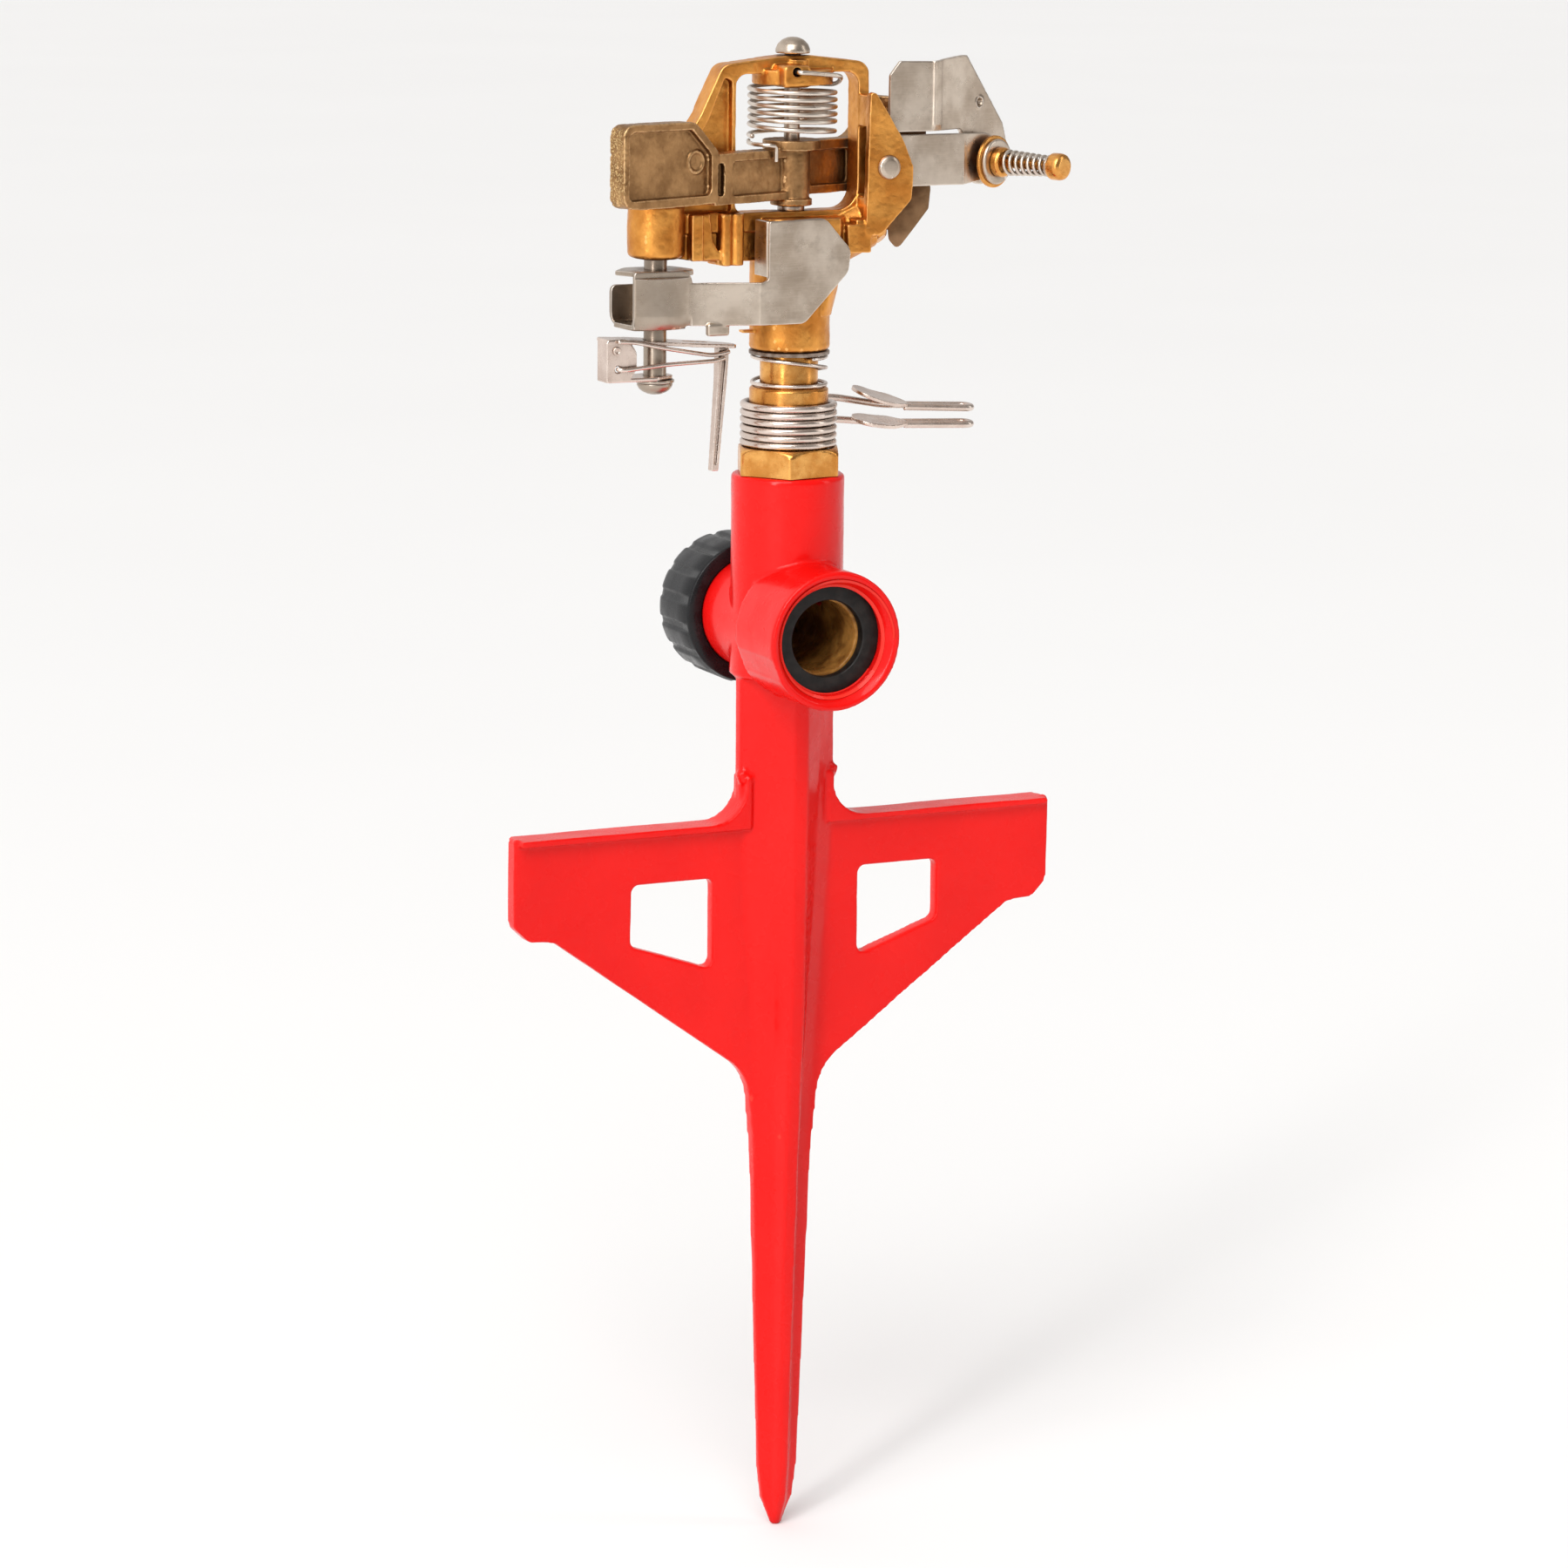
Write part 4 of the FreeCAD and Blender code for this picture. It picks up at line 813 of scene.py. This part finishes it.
def build_head():
    low, high = (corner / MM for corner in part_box("head_body"))
    boss_r = 6.7
    boss_top = lathe([(0, 140.0), (boss_r, 140.0), (boss_r, 148.3), (0, 148.3)], origin=(BOSS_X, 0, 0), round_mm=0.6)
    mesh = softened("head_body", 0.24, 7, [boss_top])
    trued(mesh, (0, 0, 0), (0, 0, 1), 9.6, low.z + 1.8, 134, slack=0.3)
    trued(mesh, (BOSS_X, 0, 0), (0, 0, 1), boss_r, 137.4, 147.4, slack=0.3)
    roughened(mesh, 6.0, 0.14, 1.7)
    roughened(mesh, 1.3, 0.05, 5.2)
    add_piece("head", mesh, "head_body")

    jet = nozzle_point(1) - nozzle_point(0)
    root = nozzle_point(0)
    hexagon = nut(11.2, 21.1, 24.1, 2.3, chamfer=0.7, origin=root, axis=jet, lift=0.2)
    shank = lathe([(2.25, 15), (4.85, 15), (4.85, 21.2), (2.25, 21.2)], origin=root, axis=jet, round_mm=0.1, solid=False)
    tip = lathe([(2.2, 24.0), (4.6, 24.0), (4.3, 25.4), (3.7, 26.8), (2.2, 26.8)], origin=root, axis=jet, round_mm=0.3, solid=False)
    add_piece("nozzle", merged([hexagon, shank, tip]), "range_nozzle")

    low, high = (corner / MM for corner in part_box("arm_pin"))
    dome_r = (high.x - low.x) / 2
    pin_r = 1.87
    base = high.z - 3.8
    dome = [(0, low.z), (pin_r, low.z), (pin_r, base), (dome_r - 0.1, base), (dome_r, base + 0.5), (dome_r - 0.05, base + 1.0),
            (dome_r - 0.5, base + 2.1), (dome_r - 1.5, base + 3.1), (dome_r - 2.8, base + 3.65), (0, high.z)]
    add_piece("pin", lathe(dome, round_mm=0.35), "arm_pin")
    low, high = (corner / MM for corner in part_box("arm_washer"))
    add_piece("arm_ring", lathe([(pin_r + 0.06, low.z), (high.x, low.z), (high.x, high.z), (pin_r + 0.06, high.z)],
                                round_mm=0.2, solid=False), "arm_washer")
    build_arm_spring()


def build_arm_spring():
    """An open bottom turn, then close turns; the top runs out in front of the post and into its hole."""
    wire = 0.55
    coil_r = 10.2
    bottom, second, top = 163.5, 166.0, 175.2
    turns = 6.5
    open_share = 1 / turns

    def height(share):
        if share < open_share:
            part = share / open_share
            return bottom + (second - bottom) * part * (0.55 + 0.45 * part)
        return second + (top - second) * (share - open_share) / (1 - open_share)

    def size(share):
        return coil_r + 0.12 * math.sin(share * 37) - 0.12

    coil = helix(size, bottom, top, turns, 0)
    count = len(coil) - 1
    coil = [Vector((point.x, point.y, height(i / count))) for i, point in enumerate(coil)]
    hook = bent([coil[-1], (10.1, -3.8, 175.8), (8.6, -8.9, 177.8), (-1.4, -11.1, 178.8), (-3.2, -11.3, 178.9),
                 (-3.2, -7.8, 178.9)], 2.2)
    add_piece("return_spring", sweep(coil[:-1] + hook[2:], wire), "arm_spring")


# ---------------------------------------------------------------- the arm
def on_arm(x, y, z):
    """A point given along the arm, turned to its resting angle."""
    return Vector((x * math.cos(ARM_ANGLE) - y * math.sin(ARM_ANGLE), x * math.sin(ARM_ANGLE) + y * math.cos(ARM_ANGLE), z))


def build_arm():
    facing = on_arm(0, 1, 0)
    floor = 1.0
    extras = [torus(on_arm(-32.6, side * floor, 159.0), facing, 2.4, 0.55) for side in (-1, 1)]
    mesh = softened("arm", 0.22, 3, extras)
    trued(mesh, (0, 0, 0), (0, 0, 1), 4.3, 149.2, 159.8)
    trued(mesh, (0, 0, 0), (0, 0, 1), 6.9, 160.6, 162.3)
    trued(mesh, (0, 0, 0), (0, 0, 1), 5.0, 147.5, 148.6)

    def rough_end(co):
        along = co[:, 0] * math.cos(ARM_ANGLE) + co[:, 1] * math.sin(ARM_ANGLE)
        return 1.0 + 2.2 * np.clip((-54 - along) / 2.0, 0, 1)

    roughened(mesh, 5.0, 0.12, 2.3)
    roughened(mesh, 0.9, 0.06, 7.7, rough_end)
    add_piece("striking_arm", mesh, "arm")

    mesh = softened("arm_spoon", 0.14, 4)
    roughened(mesh, 4.0, 0.08, 4.4)
    add_piece("spoon", mesh, "arm_spoon")

    tail = [(-9.6, 3.4, 162.3), (-11.0, 0.6, 162.0), (-11.2, -2.8, 161.9), (-10.0, -5.6, 161.9), (-8.3, -6.6, 161.8),
            (-6.9, -6.2, 161.4), (-6.8, -5.9, 157.8)]
    add_piece("spring_leg", sweep(bent(tail, 1.6), 0.5), "arm_spring_tail")


# ---------------------------------------------------------------- the deflector
def build_deflector():
    mesh = softened("deflector_bracket", 0.15, 5)
    roughened(mesh, 9.0, 0.06, 6.1)
    add_piece("deflector_strip", mesh, "deflector_bracket")

    mesh = softened("deflector_flap", 0.15, 4)
    press_crease(mesh)
    roughened(mesh, 9.0, 0.08, 8.2)
    add_piece("jet_flap", mesh, "deflector_flap")

    low, high = (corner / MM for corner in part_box("bracket_rivet"))
    centre = ((low.x + high.x) / 2, 0, (low.z + high.z) / 2)
    head_r = (high.x - low.x) / 2
    front = low.y
    rivet = [(0, front), (head_r - 1.1, front + 0.06), (head_r - 0.3, front + 0.45), (head_r, front + 1.0), (head_r, front + 1.23),
             (1.6, front + 1.25), (1.6, high.y - 1.0), (2.4, high.y - 0.8), (2.3, high.y - 0.1), (0, high.y)]
    spacer = [(1.6, -7.36), (2.6, -7.36), (2.6, -5.82), (1.6, -5.82)]
    add_piece("tilt_rivet", merged([lathe(rivet, origin=centre, axis=BACK, round_mm=0.2),
                                    lathe(spacer, origin=centre, axis=BACK, round_mm=0.1, solid=False)]), "bracket_rivet")
    build_screw()


def press_crease(mesh):
    """Shapes the flap: a raised upright rib at its crease, a small dimple, and a fuller slanted far edge."""
    co = coordinates(mesh)
    crease_x, bend = 33.8, math.radians(24)
    out = (co[:, 0] - crease_x) / math.cos(bend)
    edge = np.interp(co[:, 2], [151.0, 159.5, 164.6, 181.6], [22.8, 24.6, 22.0, 10.2])
    extra = np.interp(co[:, 2], [151.0, 154.0, 165.0, 181.6], [0.8, 2.6, 4.4, 2.0])
    push = extra * np.clip(out / edge, 0, 1.05) ** 5
    co[:, 0] += push * math.cos(bend)
    co[:, 1] += push * math.sin(bend)
    inside = np.clip((co[:, 2] - 164.4) / 1.2, 0, 1)
    rise = 1 / (1 + np.exp(-(co[:, 0] - crease_x + 0.3) / 0.16)) - 1 / (1 + np.exp(-(co[:, 0] - crease_x - 2.4) / 0.16))
    co[:, 1] -= 0.55 * rise * inside
    dimple = np.array((49.4, 170.2))
    distance = np.hypot((co[:, 0] - dimple[0]) / math.cos(bend), co[:, 2] - dimple[1])
    co[:, 1] += 0.6 * np.exp(-(distance / 0.75) ** 4) - 0.3 * np.exp(-((distance - 1.3) / 0.35) ** 2)
    set_coordinates(mesh, co)


def on_screw(profile, **settings):
    """A lathed body on the diffuser screw's axis, by distance out of the bracket."""
    return lathe(profile, origin=SCREW_BASE, axis=SCREW_AXIS, **settings)


def build_screw():
    bush = merged([
        on_screw([(1.32, 1.4), (6.2, 1.4), (6.2, 2.3), (1.32, 2.3)], round_mm=0.25, solid=False),
        on_screw([(1.32, -1.4), (2.55, -1.4), (2.55, 3.4), (1.32, 3.4)], round_mm=0.2, solid=False),
        on_screw([(1.32, 3.36), (3.6, 3.36), (3.55, 4.9), (3.1, 5.6), (1.32, 5.6)], round_mm=0.25, solid=False)])
    add_piece("bush", bush, "screw_bush")
    add_piece("steel_plate", on_screw([(2.6, 2.34), (5.4, 2.34), (5.4, 3.0), (5.1, 3.33), (2.6, 3.33)], round_mm=0.2,
                                      solid=False),
              "screw_plate")
    add_piece("spring_seat", on_screw([(1.32, 18.7), (2.7, 18.7), (2.7, 19.3), (1.32, 19.3)], round_mm=0.12, solid=False),
              "screw_washer")
    knob = [(0, -5.5), (0.8, -5.5), (1.25, -4.9), (1.25, 19.4), (2.9, 19.42), (3.2, 19.9), (3.2, 22.0), (2.95, 22.8), (2.2, 23.2), (0, 23.2)]
    add_piece("knob_screw", on_screw(knob, round_mm=0.3), "diffuser_screw")

    turns = 7
    start, end = 6.1, 18.2
    first, other = axes_for(SCREW_AXIS)
    path = []
    for i in range(turns * 40 + 1):
        share = i / (turns * 40)
        a = 2 * math.pi * turns * share
        r = 2.75 - 0.65 * share
        path.append(SCREW_BASE + SCREW_AXIS * (start + (end - start) * share) + (first * math.cos(a) + other * math.sin(a)) * r)
    spring = add_piece("tension_spring", sweep(path, 0.42), "screw_spring")
    spring.parent = None
    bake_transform(spring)


# ---------------------------------------------------------------- the trip mechanism
def bulge_wrap(mesh):
    """Rounds the lever's front plate where it wraps the pin: outward in the middle, in at its lower edge."""
    co = coordinates(mesh)
    across = (co[:, 0] + 35.9) / 7.2
    front = (co[:, 1] < -5.0) & (np.abs(across) < 1) & (co[:, 2] < 131.8)
    low = np.clip((123.2 - co[:, 2]) / 3.6, 0, 1)
    shift = -1.5 * (1 - across ** 2) + 1.7 * low ** 2
    co[front, 1] += shift[front]
    set_coordinates(mesh, co)


def build_trip():
    low, high = (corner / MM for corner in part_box("trip_pin"))
    head_r = (high.x - low.x) / 2
    pin_r = 2.7
    pin = [(0, low.z), (1.6, low.z + 0.12), (2.8, low.z + 0.62), (head_r - 0.6, low.z + 1.2), (head_r, low.z + 2.1),
           (head_r, low.z + 2.8), (pin_r, low.z + 2.84), (pin_r, high.z), (0, high.z)]
    add_piece("pivot_pin", lathe(pin, origin=(BOSS_X, 0, 0), round_mm=0.3), "trip_pin")
    low, high = (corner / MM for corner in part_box("trip_pin_washer"))
    outer = (high.x - low.x) / 2
    add_piece("pivot_washer", lathe([(pin_r + 0.06, low.z), (outer, low.z), (outer, high.z), (pin_r + 0.06, high.z)],
                                    origin=(BOSS_X, 0, 0), round_mm=0.2, solid=False), "trip_pin_washer")
    mesh = softened("trip_lever", 0.16, 5)
    bulge_wrap(mesh)
    roughened(mesh, 8.0, 0.08, 5.5)
    add_piece("lever", mesh, "trip_lever")
    mesh = softened("trigger_bracket", 0.14, 4)
    roughened(mesh, 6.0, 0.05, 3.6)
    add_piece("trigger_stirrup", mesh, "trigger_bracket")
    mesh = softened("trigger_blade", 0.12, 3)
    add_piece("trigger_leg", mesh, "trigger_blade")
    low, high = (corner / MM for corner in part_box("trigger_rivet"))
    centre = ((low.x + high.x) / 2, 0, (low.z + high.z) / 2)
    add_piece("stirrup_rivet", lathe([(0, low.y + 0.25), (0.45, low.y + 0.22), (0.6, low.y), (0.9, low.y), (1.0, low.y + 0.2), (1.0, high.y), (0, high.y)],
                                     origin=centre, axis=BACK, round_mm=0.08, segments=48), "trigger_rivet")
    upper = [(-46.6, -5.4, 117.2), (-42.5, -5.4, 117.0), (-34.5, -5.4, 115.2), (-21.4, -3.6, 112.8), (-17.0, -3.4, 113.6)]
    lower = [(-46.2, -4.0, 110.7), (-46.2, -5.6, 110.7), (-44.6, -5.8, 110.6), (-34.5, -5.4, 111.4), (-21.0, -3.9, 111.6), (-18.4, -3.7, 112.2)]
    add_piece("snap_wire", merged([sweep(bent(upper, 3.0), 0.5), sweep(bent(lower, 1.4), 0.5)]), "overcentre_spring")


# ---------------------------------------------------------------- the stop collars
def closed_coil(radius, start_z, pitch, turns, end_angle, climb=60.0):
    """Points of level turns that touch, with a short climb from each to the next."""
    points = []
    total = 360.0 * turns
    count = round(total / 6)
    for i in range(count + 1):
        done = total * i / count
        lap, part = divmod(done, 360.0)
        step = max(0.0, (part - (360.0 - climb)) / climb)
        a = math.radians(end_angle + total - done)
        z = start_z + pitch * (lap + step * step * (3 - 2 * step))
        points.append(Vector((radius * math.cos(a), radius * math.sin(a), z)))
    return points


def build_collar(node, tab_node, name, coil_z, arm_z, tip_z):
    """A friction coil that runs out to a hairpin grip with a round finger tab."""
    wire = 0.86
    coil_r = 10.7
    leave = math.radians(80)
    reach = 47.6
    along = Vector((math.sin(leave), -math.cos(leave), 0))
    across = Vector((math.cos(leave), math.sin(leave), 0))
    start = across * coil_r

    def at(out, side, height):
        return start + along * out - across * side + UP * height

    coil = closed_coil(coil_r, coil_z, 1.74, 2.75, 80)
    leave_z = coil[-1].z
    run = bent([at(0, 0, leave_z), at(14, 0, leave_z), at(26, 0, arm_z), at(reach, 0, tip_z), at(reach, 5.0, tip_z),
                at(30, 5.0, arm_z)], 2.5)
    add_piece(name, sweep(coil + run[1:], wire, 22), node)
    mesh = softened(tab_node, 0.12, 3)
    co = coordinates(mesh)
    middle = co.mean(0)
    away = np.linalg.norm(co - middle, axis=1)
    co[:, 2] += 0.5 * np.clip((away / 6.5) ** 2, 0, 1) - 0.3
    set_coordinates(mesh, co)
    roughened(mesh, 3.0, 0.06, coil_z)
    add_piece(name + "_tab", mesh, tab_node)


build_spike()
build_inlet_washer()
build_cap()
build_bearing()
build_head()
build_arm()
build_deflector()
build_trip()
build_collar("upper_collar", "upper_finger_tab", "upper_stop_coil", 96.5, 97.9, 97.2)
build_collar("lower_collar", "lower_finger_tab", "lower_stop_coil", 91.15, 93.6, 93.2)


# ---------------------------------------------------------------- studio
def build_floor():
    floor_z = cad_box[0][2]
    size = 20.0
    bm = bmesh.new()
    bmesh.ops.create_circle(bm, cap_ends=True, segments=96, radius=size)
    mesh = bpy.data.meshes.new("floor")
    bm.to_mesh(mesh)
    bm.free()
    floor = bpy.data.objects.new("floor", mesh)
    floor.location.z = floor_z
    bpy.context.scene.collection.objects.link(floor)
    g = Graph("floor")
    colour = g.mix(g.noise(400, 2), (0.895, 0.89, 0.885), (0.92, 0.915, 0.91))
    mesh.materials.append(g.finish(colour, 0.9))


def build_sky():
    """A pale dome, darker on its far right side, so that metal has something to reflect."""
    world = bpy.data.worlds.new("studio")
    bpy.context.scene.world = world
    world.use_nodes = True
    nodes, links = world.node_tree.nodes, world.node_tree.links
    background = nodes["Background"]
    place = nodes.new("ShaderNodeTexCoord")
    mapping = nodes.new("ShaderNodeMapping")
    mapping.inputs["Rotation"].default_value = (0, 0, math.radians(35))
    links.new(place.outputs["Generated"], mapping.inputs["Vector"])
    split = nodes.new("ShaderNodeSeparateXYZ")
    links.new(mapping.outputs["Vector"], split.inputs[0])
    ramp = nodes.new("ShaderNodeValToRGB")
    ramp.color_ramp.elements[0].position = 0.12
    ramp.color_ramp.elements[0].color = (1.0, 0.995, 0.99, 1)
    ramp.color_ramp.elements[1].position = 0.85
    ramp.color_ramp.elements[1].color = (0.26, 0.25, 0.24, 1)
    share = nodes.new("ShaderNodeMapRange")
    share.inputs["From Min"].default_value = -1.0
    links.new(split.outputs["X"], share.inputs["Value"])
    links.new(share.outputs["Result"], ramp.inputs["Fac"])
    links.new(ramp.outputs["Color"], background.inputs["Color"])
    background.inputs["Strength"].default_value = 1.0


def sun_light(name, direction, angle_deg, strength):
    data = bpy.data.lights.new(name, "SUN")
    data.energy = strength
    data.angle = math.radians(angle_deg)
    light = bpy.data.objects.new(name, data)
    light.rotation_euler = Vector(direction).to_track_quat("-Z", "Y").to_euler()
    bpy.context.scene.collection.objects.link(light)


def area_light(name, place, target, size, power, colour=(1, 1, 1)):
    data = bpy.data.lights.new(name, "AREA")
    data.shape = "RECTANGLE"
    data.size, data.size_y = size
    data.energy = power
    data.color = colour
    light = bpy.data.objects.new(name, data)
    light.location = place
    light.rotation_euler = (Vector(target) - Vector(place)).to_track_quat("-Z", "Y").to_euler()
    bpy.context.scene.collection.objects.link(light)


def build_camera():
    """The camera's place comes from its bearing, its height above level and its distance."""
    azimuth, elevation, roll = math.radians(-25.486), math.radians(11.498), math.radians(0.684)
    distance = 1.3
    target = Vector((0, 0, 0.00799))
    back = Vector((math.sin(azimuth) * math.cos(elevation), -math.cos(azimuth) * math.cos(elevation), math.sin(elevation)))
    right = Vector((math.cos(azimuth), math.sin(azimuth), 0))
    up = back.cross(right)
    right, up = right * math.cos(roll) + up * math.sin(roll), up * math.cos(roll) - right * math.sin(roll)
    data = bpy.data.cameras.new("camera")
    data.lens = 124.05
    data.sensor_width = 36
    data.clip_end = 60
    camera = bpy.data.objects.new("camera", data)
    turn = Matrix((right, up, back)).transposed().to_4x4()
    turn.translation = target + back * distance
    camera.matrix_world = turn
    bpy.context.scene.collection.objects.link(camera)
    bpy.context.scene.camera = camera


build_floor()
build_sky()
middle = (0, 0, 0.02)
sun_light("daylight", (0.55, 0.65, -1.0), 40, 1.6)
area_light("key", (-1.45, -1.15, 0.9), middle, (0.22, 1.7), 13)
area_light("fill", (1.7, -0.9, 0.8), middle, (0.3, 1.6), 4)
build_camera()
bpy.context.scene.view_settings.view_transform = "Standard"
